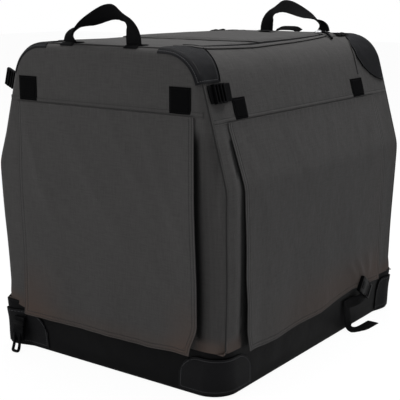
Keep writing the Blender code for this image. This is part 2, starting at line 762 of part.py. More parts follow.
def side_sheet(outer, inner, ex, y_low, y_high):
    """A sheet along Y between two outlines that are seen from the front."""
    return grid_solid(
        [[(ex * x, y, z) for x, z in outer] for y in (y_low, y_high)],
        [[(ex * x, y, z) for x, z in inner] for y in (y_low, y_high)],
    )


def build_side_walls():
    outline = side_outline()
    seam = SIDE_SEAM_Y - SEAM_PLAY
    for side, ex in (("left", -1), ("right", 1)):
        bm = side_sheet(outline, moved_out(outline, -CLOTH), ex, -seam, seam)
        wall = finish(f"{side}_wall", bm, CANVAS, sharp_deg=50)
        window = rounded_span(-SIDE_WINDOW_HALF, SIDE_WINDOW_HALF,
                              SIDE_WINDOW_LOW, SIDE_WINDOW_HIGH, WINDOW_CORNER)
        bm = extrusion(window, WAIST_HALF / 2, WAIST_HALF * 1.5,
                       lambda a, b, h, ex=ex: (ex * h, a, b))
        boolean(wall, finish(f"{side}_window_hole", bm, CANVAS), "DIFFERENCE")

        play = SEAM_PLAY
        strip = [(half_width(z), z) for z in (SIDE_WINDOW_LOW, WAIST_Z, SIDE_WINDOW_HIGH)]
        middle = (CLOTH - MESH_T) / 2
        bm = side_sheet(moved_out(strip, -middle), moved_out(strip, -middle - MESH_T), ex,
                        -SIDE_WINDOW_HALF, SIDE_WINDOW_HALF)
        net = finish(f"{side}_window_net", bm, NET, sharp_deg=50)
        frame = rounded_span(play - SIDE_WINDOW_HALF, SIDE_WINDOW_HALF - play,
                             SIDE_WINDOW_LOW + play, SIDE_WINDOW_HIGH - play,
                             WINDOW_CORNER - play)
        bm = extrusion(frame, WAIST_HALF / 2, WAIST_HALF * 1.5,
                       lambda a, b, h, ex=ex: (ex * h, a, b))
        boolean(net, finish(f"{side}_net_outline", bm, NET), "INTERSECT")


def flap_lift(u, v):
    """How far a hanging flap stands off its wall, u across and v down, each from 0 to 1."""
    folds = FLAP_FOLD * (1 - math.cos(2 * math.pi * FLAP_FOLDS * u)) / 2
    edge = FLAP_FLARE * abs(2 * u - 1) ** 3
    return SEAM_PLAY + (folds + edge * 0.5) * v ** 1.5


def build_end_flaps():
    for end, ey in (("front", -1), ("rear", 1)):
        layers = []
        for thick in (0, CLOTH):
            grid = []
            for i in range(FLAP_ROWS + 1):
                v = i / FLAP_ROWS
                row = []
                for j in range(FLAP_COLUMNS + 1):
                    u = j / FLAP_COLUMNS
                    x = FLAP_HALF * (2 * u - 1)
                    z = FLAP_SEAM_Z + (FLAP_FOOT_Z - FLAP_SEAM_Z) * v
                    row.append((x, ey * (DEPTH_HALF + flap_lift(u, v) + thick), z))
                grid.append(row)
            layers.append(grid)
        pivot = (0, ey * (DEPTH_HALF + SEAM_PLAY + CLOTH / 2), FLAP_SEAM_Z)
        finish(f"{end}_flap", grid_solid(*layers), CANVAS, pivot=pivot, sharp_deg=50)


def build_side_flaps():
    seam_x = half_width(SIDE_FLAP_SEAM_Z)
    for side, ex in (("left", -1), ("right", 1)):
        above = FLAP_ROWS // 3
        heights = [SIDE_FLAP_SEAM_Z + (WAIST_Z - SIDE_FLAP_SEAM_Z) * i / above
                   for i in range(above)]
        heights += [WAIST_Z + (FLAP_FOOT_Z - WAIST_Z) * i / FLAP_ROWS
                    for i in range(FLAP_ROWS + 1)]
        spine = [(half_width(z), z) for z in heights]
        layers = []
        for thick in (0, CLOTH):
            grid = []
            for j in range(FLAP_COLUMNS + 1):
                u = j / FLAP_COLUMNS
                y = -SIDE_FLAP_FRONT + (SIDE_FLAP_REAR + SIDE_FLAP_FRONT) * u
                row = []
                for i, (x, z) in enumerate(spine):
                    v = (SIDE_FLAP_SEAM_Z - z) / (SIDE_FLAP_SEAM_Z - FLAP_FOOT_Z)
                    row.append((ex * (x + flap_lift(u, v) + thick), y, z))
                grid.append(row)
            layers.append(grid)
        pivot = (ex * (seam_x + SEAM_PLAY + CLOTH / 2), 0, SIDE_FLAP_SEAM_Z)
        finish(f"{side}_flap", grid_solid(*layers), CANVAS, pivot=pivot, sharp_deg=50)


def build_velcro():
    """Hook-and-loop squares above each flap's seam, which hold the rolled flap."""
    low = FLAP_SEAM_Z + VELCRO_ABOVE_SEAM
    for end, ey in (("front", -1), ("rear", 1)):
        for side, ex in (("left", -1), ("right", 1)):
            outline = rounded_span(
                ex * FRONT_VELCRO_X - VELCRO_SIZE / 2, ex * FRONT_VELCRO_X + VELCRO_SIZE / 2,
                low, low + VELCRO_SIZE, VELCRO_SIZE / 20,
            )
            near = DEPTH_HALF + FIT
            bm = extrusion(outline, near, near + VELCRO_T,
                           lambda a, b, h, ey=ey: (a, ey * h, b))
            finish(f"{end}_{side}_velcro", bm, VELCRO)
    low = SIDE_FLAP_SEAM_Z + VELCRO_ABOVE_SEAM
    for side, ex in (("left", -1), ("right", 1)):
        for place, middle in (("near", -SIDE_VELCRO_FRONT), ("far", SIDE_VELCRO_REAR)):
            outline = rounded_span(middle - VELCRO_SIZE / 2, middle + VELCRO_SIZE / 2,
                                   0, VELCRO_SIZE, VELCRO_SIZE / 20)

            def on_side(a, b, h, ex=ex):
                z = low + b * math.cos(LEAN) + h * math.sin(LEAN)
                x = half_width(low) - b * math.sin(LEAN) + h * math.cos(LEAN)
                return ex * x, a, z

            bm = extrusion(outline, FIT, FIT + VELCRO_T, on_side)
            finish(f"{side}_{place}_velcro", bm, VELCRO)


def build_roof():
    edge = ROOF_SEAM_X - SEAM_PLAY
    end = SIDE_SEAM_Y - SEAM_PLAY
    bm = extrusion([(-edge, -end), (edge, -end), (edge, end), (-edge, end)],
                   HEIGHT - CLOTH, HEIGHT, lambda a, b, h: (a, b, h))
    panel = finish("roof_panel", bm, CANVAS)
    opening = rounded_span(-ROOF_DOOR_HALF, ROOF_DOOR_HALF, -ROOF_DOOR_FRONT, ROOF_DOOR_REAR,
                           ROOF_DOOR_CORNER)
    bm = extrusion(opening, HEIGHT - CLOTH * 3, HEIGHT + CLOTH * 3, lambda a, b, h: (a, b, h))
    boolean(panel, finish("roof_opening", bm, CANVAS), "DIFFERENCE")

    play = SEAM_PLAY
    outline = rounded_span(play - ROOF_DOOR_HALF, ROOF_DOOR_HALF - play,
                           play - ROOF_DOOR_FRONT, ROOF_DOOR_REAR - play,
                           ROOF_DOOR_CORNER - play)
    low = HEIGHT - (CLOTH + MESH_T) / 2
    bm = extrusion(outline, low, low + MESH_T, lambda a, b, h: (a, b, h))
    finish("roof_net", bm, NET)

    lap = ROOF_FLAP_LAP
    outline = rounded_span(-ROOF_DOOR_HALF - lap, ROOF_DOOR_HALF + lap,
                           -ROOF_DOOR_FRONT - lap, ROOF_DOOR_REAR + lap,
                           ROOF_DOOR_CORNER + lap)
    low = HEIGHT + FIT
    bm = extrusion(outline, low, low + ROOF_FLAP_T, lambda a, b, h: (a, b, h))
    finish("roof_flap", bm, CANVAS, pivot=(0, ROOF_DOOR_REAR + lap, low + ROOF_FLAP_T / 2))


def build_shoulder_patches():
    """Tough patches over the four round upper corners, widest on the roof."""
    outline = side_outline()
    near = [moved_out(outline, FIT), moved_out(outline, FIT + SHOULDER_PATCH_T)]

    def along(points):
        """The stretch of the outline that a patch covers, from its low end to the roof."""
        above = [p for p in points if p[1] > SHOULDER_PATCH_LOW_Z]
        before = points[len(points) - len(above) - 1]
        share = (SHOULDER_PATCH_LOW_Z - before[1]) / (above[0][1] - before[1])
        low = tuple(a + (b - a) * share for a, b in zip(before, above[0]))
        return [low] + above[:-1]

    covered = [along(points) for points in near]
    count = len(covered[0])
    for end, ey in (("front", -1), ("rear", 1)):
        for side, ex in (("left", -1), ("right", 1)):
            layers = []
            for points in covered:
                grid = []
                for i, (x, z) in enumerate(points):
                    t = i / (count - 1)
                    swell = math.sqrt(1 - (1 - t) ** 2)
                    depth = SHOULDER_PATCH_LEAST + (
                        SHOULDER_PATCH_DEPTH - SHOULDER_PATCH_LEAST
                    ) * swell
                    outer_y = SIDE_SEAM_Y
                    row = []
                    for k in range(4):
                        row.append((ex * x, ey * (outer_y - depth * k / 3), z))
                    grid.append(row)
                layers.append(grid)
            finish(f"{end}_{side}_shoulder_patch", grid_solid(*layers), PATCH, sharp_deg=50)


def build_handles():
    """Webbing loops over the roof's ends, which lean to one foot and twist so their tops lie flat.

    The rear one is the front one turned half round the crate's upright middle line.
    """
    course = (
        (-1.09, 0.00, 0), (-1.06, 0.14, -8), (-0.97, 0.28, -36), (-0.78, 0.42, -66),
        (-0.54, 0.60, -88), (-0.28, 0.77, -90), (-0.03, 0.91, -90), (0.17, 0.99, -90),
        (0.35, 1.00, -87), (0.51, 0.90, -74), (0.65, 0.74, -52), (0.77, 0.55, -25),
        (0.86, 0.34, -8), (0.90, 0.15, 0), (0.91, 0.00, 0),
    )
    for end, ey in (("front", -1), ("rear", 1)):
        foot_y = ey * (SIDE_SEAM_Y + HANDLE_OUTSET)
        foot_z = HANDLE_FOOT_Z
        centres = []
        across = []
        for along, up, turn in course:
            centres.append(Vector((-ey * HANDLE_FOOT_X * along, foot_y, foot_z + HANDLE_RISE * up)))
            turned_by = math.radians(turn)
            across.append(Vector((math.cos(turned_by), math.sin(turned_by), 0)))
        bm = ribbon(centres, across, WEBBING_WIDTH, WEBBING_T)
        for vert in bm.verts:
            vert.co.z = max(vert.co.z, foot_z)
            if vert.co.z < foot_z + FIT:
                vert.co.y = foot_y + (vert.co.y - foot_y) * HANDLE_FOOT_PINCH
        finish(f"{end}_handle", bm, WEBBING, pivot=(0, foot_y, foot_z), sharp_deg=50)


def build_top_buckles():
    """Ladder buckles on short webbing, sewn to the side walls behind the front hoop."""
    front = SIDE_SEAM_Y - TOP_BUCKLE_START
    web = WEBBING_T
    rise = TOP_BUCKLE_RISE
    slot = TOP_BUCKLE_SLOT
    body_start = TOP_BUCKLE_BODY
    body_end = TOP_BUCKLE_BODY_END
    outline = [(0, 0), (TOP_BUCKLE_LENGTH, 0), (TOP_BUCKLE_LENGTH, web)]
    outline += [(body_end, web), (body_end, rise)]
    for place in TOP_BUCKLE_SLOTS:
        outline += [(place + slot, rise), (place + slot, web), (place, web), (place, rise)]
    outline += [(body_start, rise), (body_start, web), (0, web)]
    for side, ex in (("left", -1), ("right", 1)):

        def on_side(a, h, b, ex=ex):
            z = TOP_BUCKLE_Z + b * math.cos(LEAN) + h * math.sin(LEAN)
            x = half_width(TOP_BUCKLE_Z) - b * math.sin(LEAN) + (FIT + h) * math.cos(LEAN)
            return ex * x, a - front, z

        half = TOP_BUCKLE_HEIGHT / 2
        bm = extrusion(outline, -half, half, on_side)
        finish(f"{side}_top_buckle", bm, PLASTIC)


def buckle_outline():
    """A side-release buckle from above: a body, two waisted prongs and a bar end."""
    length = BASE_BUCKLE_LENGTH
    half = BASE_BUCKLE_WIDTH / 2
    right = [
        (half * 0.90, 0), (half, length * 0.08), (half, length * 0.42), (half * 0.72, length * 0.46),
        (half * 0.72, length * 0.62), (half * 0.95, length * 0.66), (half * 0.95, length * 0.94),
        (half * 0.80, length),
    ]
    return right + [(-a, b) for a, b in reversed(right)]


def build_rear_strap():
    """A closing strap that comes from under the hem, with its tail on the floor and a side tab."""
    floor = WEBBING_T / 2 + FIT
    top_z = HEM_Z - REAR_STRAP_TOP
    side = TUB_HALF_X - tub_inset(top_z) + WEBBING_T / 2 + FIT
    y = REAR_STRAP_Y
    path = (
        (0.00, 0.00, 1.00, 90),
        (0.07, 0.04, 0.50, 90),
        (0.15, 0.07, 0.16, 90),
        (0.38, 0.11, 0.04, 90),
        (0.69, 0.24, 0.00, 121),
        (0.93, 0.44, 0.00, 158),
        (1.00, 1.00, 0.00, 180),
    )
    centres = []
    across = []
    for out, along, up, turn in path:
        centres.append(Vector((
            side + REAR_STRAP_SPREAD * out,
            y + REAR_STRAP_TAIL * along,
            floor + (top_z - floor) * up,
        )))
        turned_by = math.radians(turn)
        across.append(Vector((math.cos(turned_by), math.sin(turned_by), 0)))
    bm = ribbon(centres, across, BASE_STRAP_WIDTH, WEBBING_T)
    for vert in bm.verts:
        vert.co.z = max(vert.co.z, FIT)
    strap = finish("rear_right_base_strap", bm, WEBBING)
    near = REAR_BUCKLE_X - FIT - WEBBING_T / 2
    tab_z = top_z - REAR_TAB_WIDTH / 2
    centres = [
        Vector((side + FIT, y, tab_z)),
        Vector((side + WEBBING_T, y + REAR_TAB_REACH / 3, tab_z)),
        Vector((near, y + REAR_TAB_REACH * 2 / 3, tab_z)),
        Vector((near, y + REAR_TAB_REACH, tab_z)),
    ]
    bm = ribbon(centres, [Vector((0, 0, 1))] * 4, REAR_TAB_WIDTH, WEBBING_T)
    boolean(strap, finish("rear_strap_tab", bm, WEBBING), "UNION")


def build_base_buckles():
    """The two halves of the closing buckles: one on the rear strap's tab, one at the front left."""
    tilt = math.radians(REAR_BUCKLE_TILT_DEG)
    middle = BASE_BUCKLE_LENGTH / 2

    def rear_place(a, b, h):
        y = REAR_BUCKLE_Y + a * math.cos(tilt) + (b - middle) * math.sin(tilt)
        z = REAR_BUCKLE_Z + a * math.sin(tilt) - (b - middle) * math.cos(tilt)
        return REAR_BUCKLE_X + h, y, z

    bm = extrusion(buckle_outline(), 0, BASE_BUCKLE_T, rear_place)
    finish("rear_right_base_buckle", bm, PLASTIC)

    x = -FRONT_BUCKLE_X
    top_z = HEM_Z - FRONT_STRAP_TOP
    top_y = -(TUB_HALF_Y - tub_inset(top_z) + TUB_PATCH_T + FIT + WEBBING_T / 2)
    slope = FRONT_STRAP_TAIL / FRONT_STRAP_LENGTH
    centres = [Vector((x, top_y - slope * drop, top_z - drop))
               for drop in (0, FRONT_STRAP_LENGTH / 2, FRONT_STRAP_LENGTH)]
    bm = ribbon(centres, [Vector((1, 0, 0))] * 3, BASE_BUCKLE_WIDTH * 0.8, WEBBING_T)
    finish("front_left_base_strap", bm, WEBBING)

    lean = math.atan(slope)
    centre_z = top_z - FRONT_STRAP_LENGTH / 2
    off = WEBBING_T / 2 + FIT
    centre_y = top_y - slope * FRONT_STRAP_LENGTH / 2

    def front_place(a, b, h):
        out = off + h
        y = centre_y + (b - middle) * math.sin(lean) - out * math.cos(lean)
        z = centre_z + (b - middle) * math.cos(lean) + out * math.sin(lean)
        return x + a, y, z

    bm = extrusion(buckle_outline(), 0, BASE_BUCKLE_T, front_place)
    finish("front_left_base_buckle", bm, PLASTIC)


def build_zip_slider():
    """The slider of the zip along the right roof seam, with its pull lying flat."""
    x = ROOF_SEAM_X
    low = HEIGHT + FIT
    half = SLIDER_WIDTH / 2
    length = SLIDER_LENGTH
    outline = [(-half, 0), (half, 0), (half, length * 0.7), (half * 0.5, length),
               (-half * 0.5, length), (-half, length * 0.7)]
    bm = extrusion(outline, low, low + SLIDER_HEIGHT,
                   lambda a, b, h: (x + a, SLIDER_Y - b, h))
    finish("roof_zip_slider", bm, ZIP_METAL, pivot=(x, SLIDER_Y, low))


build_tub()
build_tub_patches()
build_floor()
build_base_frame()
build_brackets()
build_legs()
build_elbow_pins()
build_hoops()
build_rails()
build_end_walls()
build_side_walls()
build_end_flaps()
build_side_flaps()
build_velcro()
build_roof()
build_shoulder_patches()
build_handles()
build_top_buckles()
build_rear_strap()
build_base_buckles()
build_zip_slider()
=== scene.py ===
"""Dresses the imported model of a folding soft-sided dog crate: canvas, nets, webbing, buckles and a
small studio. Metres, +Z up, the front and its doorway towards -Y."""

import math

import bmesh
import bpy
from bpy.props import FloatProperty, FloatVectorProperty, IntProperty, PointerProperty
from mathutils import Matrix, Vector, noise


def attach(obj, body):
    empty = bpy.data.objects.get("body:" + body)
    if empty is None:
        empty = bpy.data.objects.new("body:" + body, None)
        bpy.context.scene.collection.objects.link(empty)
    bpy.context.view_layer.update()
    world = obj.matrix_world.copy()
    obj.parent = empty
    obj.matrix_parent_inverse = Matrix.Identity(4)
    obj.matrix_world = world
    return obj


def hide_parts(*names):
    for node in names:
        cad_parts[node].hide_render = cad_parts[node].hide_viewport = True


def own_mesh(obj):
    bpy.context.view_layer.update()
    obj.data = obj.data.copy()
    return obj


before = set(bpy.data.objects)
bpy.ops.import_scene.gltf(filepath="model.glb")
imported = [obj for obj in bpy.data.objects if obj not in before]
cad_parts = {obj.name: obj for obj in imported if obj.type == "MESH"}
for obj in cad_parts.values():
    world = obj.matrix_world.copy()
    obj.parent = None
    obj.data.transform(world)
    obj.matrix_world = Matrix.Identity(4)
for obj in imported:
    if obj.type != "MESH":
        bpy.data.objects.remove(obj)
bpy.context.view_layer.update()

bl_info = {
    "name": "Folding dog crate",
    "version": (1, 0, 0),
    "blender": (4, 5, 0),
    "location": "View3D > Sidebar > Crate",
    "description": "Sews the canvas, nets, webbing and buckles on the crate's folding frame",
    "category": "Object",
}

# The crate's own places, the same as the frame's
BASE_HALF = 0.300
DEPTH_HALF = 0.378
HEIGHT = 0.700
HEM_Z = 0.085
WAIST_HALF = 0.308
WAIST_Z = 0.4322
SIDE_LEAN = 0.28
SHOULDER_R = 0.085
EDGE_ROLL = 0.016
SIDE_SEAM_Y = DEPTH_HALF - EDGE_ROLL
CLOTH = 0.0025
FRONT_SEAM_Z = 0.5725
FLAP_HALF = 0.238
SIDE_FLAP_SEAM_Z = 0.557
SIDE_OPENING_LOW_Z = 0.150
SIDE_OPENING_HIGH_Z = 0.530
SIDE_OPENING_HALF = 0.235
SIDE_FLAP_FRONT = -0.304
SIDE_FLAP_REAR = 0.283
TUB_HALF_X = 0.297
TUB_HALF_Y = 0.375
TUB_TOP = 0.100
WALL_HEM_Z = 0.102
ROOF_SEAM_X = 0.1456
ROOF_EDGE_X = 0.1860
ROOF_HOLE_HALF = ROOF_SEAM_X - 0.0275
# The camera that was fitted to the photo
PHOTO_LENS_MM = 86.34
PHOTO_SENSOR_MM = 36
PHOTO_EYE = (1.30942, -1.84259, 0.81172)
PHOTO_TARGET = (-0.01935, -0.01406, 0.31284)
# The three lamps: name, place, what they face, size and power
LAMPS = (
    ("key_softbox", (-1.9, -2.6, 2.6), (0, 0, 0.35), 1.8, 43),
    ("side_softbox", (3.0, -0.6, 2.0), (0, 0, 0.35), 2.0, 1.5),
    ("top_softbox", (0.2, 0.4, 3.0), (0, 0, 0.5), 2.2, 74),
)
SIDES = (("left", -1), ("right", 1))
ENDS = (("front", -1), ("rear", 1))


class CrateSizes(bpy.types.PropertyGroup):
    """Sizes of the soft pieces that a user would change."""

    cloth: FloatProperty(
        name="Canvas", description="Thickness of the canvas", default=0.0022, unit="LENGTH"
    )
    hem: FloatProperty(
        name="Hem", description="From a flap's edge to the inner line of stitches",
        default=0.010, unit="LENGTH",
    )
    flare: FloatProperty(
        name="Flare", description="How far a flap's lower corners stand off the wall",
        default=0.009, unit="LENGTH",
    )
    webbing: FloatProperty(
        name="Webbing", description="Width of the handle webbing", default=0.038, unit="LENGTH"
    )
    net_pitch: FloatProperty(
        name="Net pitch", description="From one hole of the net to the next",
        default=0.0022, unit="LENGTH",
    )
    quilts: IntProperty(
        name="Quilting", description="Sewn channels across the mat", default=9
    )


def colour_property(name, description, default):
    return FloatVectorProperty(
        name=name, description=description, default=default, subtype="COLOR",
        size=3, min=0, max=1,
    )


class CrateColours(bpy.types.PropertyGroup):
    """Colours of the finishes, as linear values."""

    canvas: colour_property("Canvas", "Charcoal canvas", (0.0478, 0.0459, 0.0448))
    hem_tint: colour_property("Hem tint", "Canvas near the lower hems", (0.0680, 0.0490, 0.0410))
    tarpaulin: colour_property("Tarpaulin", "Coated cloth of the tub", (0.0046, 0.0046, 0.0049))
    patch: colour_property("Patch", "Tough cloth on the corners", (0.0064, 0.0065, 0.0074))
    webbing: colour_property("Webbing", "Straps and handles", (0.0038, 0.0038, 0.0041))
    velcro: colour_property("Hook and loop", "Fastening squares", (0.0020, 0.0020, 0.0022))
    net: colour_property("Net", "Window mesh", (0.0140, 0.0140, 0.0150))
    thread: colour_property("Thread", "Stitches on the dark patches", (0.0850, 0.0850, 0.0880))
    plastic: colour_property("Plastic", "Buckles and brackets", (0.0022, 0.0022, 0.0025))
    fleece: colour_property("Fleece", "The floor mat", (0.2100, 0.2000, 0.1880))


# Shader nodes


class Amount:
    """A number that changes over a surface. Python's operators on it add Math nodes."""

    def __init__(self, finish, socket):
        self.finish = finish
        self.socket = socket

    def __add__(self, other):
        return self.finish.maths("ADD", self, other)

    __radd__ = __add__

    def __mul__(self, other):
        return self.finish.maths("MULTIPLY", self, other)

    __rmul__ = __mul__

    def __sub__(self, other):
        return self.finish.maths("SUBTRACT", self, other)

    def __rsub__(self, other):
        return self.finish.maths("SUBTRACT", other, self)

    def __truediv__(self, other):
        return self.finish.maths("DIVIDE", self, other)

    def __pow__(self, other):
        return self.finish.maths("POWER", self, other)

    def __abs__(self):
        return self.finish.maths("ABSOLUTE", self)

    def sine(self):
        return self.finish.maths("SINE", self)

    def most(self, other):
        return self.finish.maths("MAXIMUM", self, other)

    def held(self):
        """Kept from 0 to 1."""
        return self.finish.maths("MULTIPLY", self, 1.0, clamp=True)

    def eased(self, low, high):
        """From 0 at low to 1 at high, smoothly."""
        made = self.finish.node(
            "ShaderNodeMapRange", {"interpolation_type": "SMOOTHSTEP"},
            {"Value": self, "From Min": low, "From Max": high},
        )
        return Amount(self.finish, made.outputs["Result"])


class Finish:
    """One material, whose nodes come from node()."""

    def __init__(self, name, colour, roughness, metallic=0.0, **uniform):
        self.material = bpy.data.materials.new(name)
        self.material.use_nodes = True
        self.tree = self.material.node_tree
        self.shader = self.tree.nodes["Principled BSDF"]
        self.shader.inputs["Base Color"].default_value = (*colour, 1)
        self.shader.inputs["Roughness"].default_value = roughness
        self.shader.inputs["Metallic"].default_value = metallic
        for key, value in uniform.items():
            socket = key.replace("_", " ").title().replace("Ior", "IOR")
            self.shader.inputs[socket].default_value = value
        self.material.diffuse_color = (*colour, 1)

    def node(self, kind, settings=None, values=None):
        """A node of this kind: its settings first, then the values or links of its sockets."""
        made = self.tree.nodes.new(kind)
        for key, value in (settings or {}).items():
            setattr(made, key, value)
        for key, value in (values or {}).items():
            self.feed(made.inputs[key], value)
        return made

    def feed(self, socket, value):
        if isinstance(value, Amount):
            value = value.socket
        if isinstance(value, bpy.types.NodeSocket):
            self.tree.links.new(value, socket)
        elif hasattr(value, "__len__") and len(value) == 3 and socket.type == "RGBA":
            socket.default_value = (*value, 1)
        else:
            socket.default_value = value

    def maths(self, operation, *values, clamp=False):
        made = self.node("ShaderNodeMath", {"operation": operation, "use_clamp": clamp},
                         dict(enumerate(values)))
        return Amount(self, made.outputs[0])

    def mixed(self, share, first, second, way="MIX"):
        """The colour between two colours."""
        made = self.node(
            "ShaderNodeMix", {"data_type": "RGBA", "blend_type": way},
            {0: share, 6: first, 7: second},
        )
        return made.outputs[2]

    def place(self):
        """Where a point is on the piece, in metres."""
        return self.node("ShaderNodeTexCoord").outputs["Object"]

    def cloth(self):
        """How far a point is along and across its cloth, in metres."""
        found = self.node("ShaderNodeUVMap", {"uv_map": "cloth"})
        parts = self.node("ShaderNodeSeparateXYZ", None, {0: found.outputs[0]})
        return found.outputs[0], Amount(self, parts.outputs[0]), Amount(self, parts.outputs[1])

    def painted(self, name):
        """A value that the piece carries at its vertices."""
        found = self.node("ShaderNodeAttribute", {"attribute_name": name})
        return Amount(self, found.outputs["Fac"])

    def noise(self, where, scale, detail=2.0, roughness=0.5):
        made = self.node("ShaderNodeTexNoise", None, {
            "Vector": where, "Scale": scale, "Detail": detail, "Roughness": roughness,
        })
        return Amount(self, made.outputs[0])

    def cells(self, where, scale):
        made = self.node("ShaderNodeTexVoronoi", {"feature": "F1"},
                         {"Vector": where, "Scale": scale})
        return Amount(self, made.outputs["Distance"])

    def stretched(self, where, scale):
        made = self.node("ShaderNodeMapping", {"vector_type": "POINT"},
                         {"Vector": where, "Scale": scale})
        return made.outputs[0]

    def stitches(self, edge, along, offsets, pitch=0.0040, half=0.00055):
        """Two results: the threads, and the dent that the rows of stitches pull in the cloth."""
        row = None
        dent = None
        for offset in offsets:
            off = abs(edge - offset)
            line = 1 - off.eased(half * 0.5, half * 1.3)
            pull = 1 - off.eased(0, 0.0024)
            row = line if row is None else row + line
            dent = pull if dent is None else dent.most(pull)
        dash = (along * (2 * math.pi / pitch)).sine().eased(-0.55, 0.05)
        return row * dash, dent

    def colour(self, value):
        self.feed(self.shader.inputs["Base Color"], value)

    def roughness(self, value):
        self.feed(self.shader.inputs["Roughness"], value)

    def relief(self, height, strength=1.0):
        """Height in metres, as bumps."""
        made = self.node("ShaderNodeBump", None,
                         {"Strength": strength, "Distance": 1.0, "Height": height})
        self.feed(self.shader.inputs["Normal"], made.outputs[0])


def faded(colour, by):
    return tuple(value * by for value in colour)


def canvas_finish(name, colour, tint, threads=(0.0032, 0.0100)):
    """Matt plain-woven canvas with heathered yarn, twin-needle hems and a tint low down."""
    f = Finish(name, colour, 0.90, sheen_weight=0.05, sheen_roughness=0.45,
               specular_ior_level=0.22)
    at, u, v = f.cloth()
    spot = f.place()
    pitch = 0.00062
    weave = (u * (math.pi / pitch)).sine() * (v * (math.pi / pitch)).sine()
    slub = f.noise(f.stretched(at, (1, 0.14, 1)), 900, 2.0) + f.noise(
        f.stretched(at, (0.14, 1, 1)), 900, 2.0)
    linen = f.noise(f.stretched(at, (1, 0.10, 1)), 330, 2.0) + f.noise(
        f.stretched(at, (0.10, 1, 1)), 330, 2.0)
    heather = f.noise(at, 520, 3.0, 0.65)
    cloud = f.noise(spot, 5.5, 4.0, 0.6)
    mottle = f.noise(spot, 42, 3.0, 0.6)
    yarn = f.mixed((heather * 1.6 - 0.3).held(), faded(colour, 0.72), faded(colour, 1.30))
    worn = f.mixed((cloud * 1.9 - 0.45).held(), faded(colour, 0.90), faded(colour, 1.12))
    base = f.mixed(0.5, yarn, worn)
    base = f.mixed((linen * 2.2 - 1.7).held() * 0.32, base, faded(colour, 1.62))
    base = f.mixed((1.7 - linen * 2.0).held() * 0.20, base, faded(colour, 0.62))
    base = f.mixed((mottle * 0.9 - 0.2).held() * 0.25, base, faded(colour, 1.25))
    sewn = f.painted("sewn").held()
    # Painted highlight: a light line along every edge of the sewn pieces, where a folded hem catches
    # the light
    rim = 1 - f.painted("edge").eased(0.0004, 0.0024)
    stained = f.painted("tint").held()
    base = f.mixed((rim * sewn).held() * 0.5, base, faded(colour, 1.5))
    base = f.mixed(stained * (1 - rim * 0.4), base, tint)
    row, dent = f.stitches(f.painted("edge"), u + v, threads)
    row = row * sewn
    dent = dent * sewn
    # Painted shade: the cloth is darkened in the dents that the rows of stitches pull
    base = f.mixed(dent * 0.30, base, faded(colour, 0.55))
    base = f.mixed(row * 0.75, base, faded(colour, 0.42))
    f.colour(f.mixed(f.painted("shade").held(), base, faded(colour, 0.015)))
    f.roughness(0.84 + heather * 0.12)
    rumple = f.noise(f.stretched(spot, (1, 1, 0.6)), 17, 3.0, 0.55)
    f.relief(weave * 0.00003 + slub * 0.00012 + linen * 0.00016 + heather * 0.00006
             + mottle * 0.0006 + rumple * 0.0030 + row * 0.00030 - dent * 0.00090)
    return f.material


def patch_finish(name, colour, thread):
    """Coarse tough cloth with a coated face, and grey stitches along its edge."""
    f = Finish(name, colour, 0.66, specular_ior_level=0.10)
    at, u, v = f.cloth()
    pitch = 0.00125
    weave = (u * (math.pi / pitch)).sine() * (v * (math.pi / pitch)).sine()
    grain = f.noise(at, 700, 3.0, 0.7)
    cloud = f.noise(f.place(), 24, 4.0, 0.65)
    base = f.mixed((grain * 1.5 - 0.25).held(), faded(colour, 0.6), faded(colour, 1.6))
    base = f.mixed((cloud * 2.6 - 0.9).held() * 0.45, base, faded(colour, 2.5))
    row, dent = f.stitches(f.painted("edge"), u + v, (0.0050,), 0.0045, 0.0007)
    base = f.mixed((row * f.painted("sewn")).held() * 0.8, base, thread)
    f.colour(base)
    f.roughness(0.52 + grain * 0.20 + cloud * 0.08)
    f.relief(weave * 0.00010 + grain * 0.00006 + row * 0.0003 - dent * 0.0005 + cloud * 0.0003)
    return f.material


def tarpaulin_finish(name, colour):
    """Coated cloth: a faint scrim under a satin skin, scuffed where it bulges."""
    f = Finish(name, colour, 0.50, specular_ior_level=0.04)
    _, u, v = f.cloth()
    spot = f.place()
    scrim = (u * (math.pi / 0.0016)).sine() * (v * (math.pi / 0.0016)).sine()
    skin = f.noise(spot, 350, 3.0, 0.6)
    cloud = f.noise(spot, 16, 4.0, 0.6)
    scuff = f.noise(f.stretched(spot, (1, 1, 3.5)), 90, 5.0, 0.75)
    marks = (scuff * 3.2 - 1.75).held() * (cloud * 2.2 - 0.7).held()
    base = f.mixed((cloud * 1.8 - 0.4).held(), faded(colour, 0.78), faded(colour, 1.35))
    base = f.mixed(marks * 0.35, base, faded(colour, 4.0))
    row, dent = f.stitches(f.painted("edge"), u + v, (0.0040,), 0.0045, 0.0006)
    sewn = f.painted("sewn").held()
    f.colour(f.mixed(row * sewn * 0.6, base, faded(colour, 3.2)))
    f.roughness(0.46 + skin * 0.10 + marks * 0.22)
    f.relief(scrim * 0.00005 + skin * 0.00008 + cloud * 0.0011 - dent * sewn * 0.0005)
    return f.material


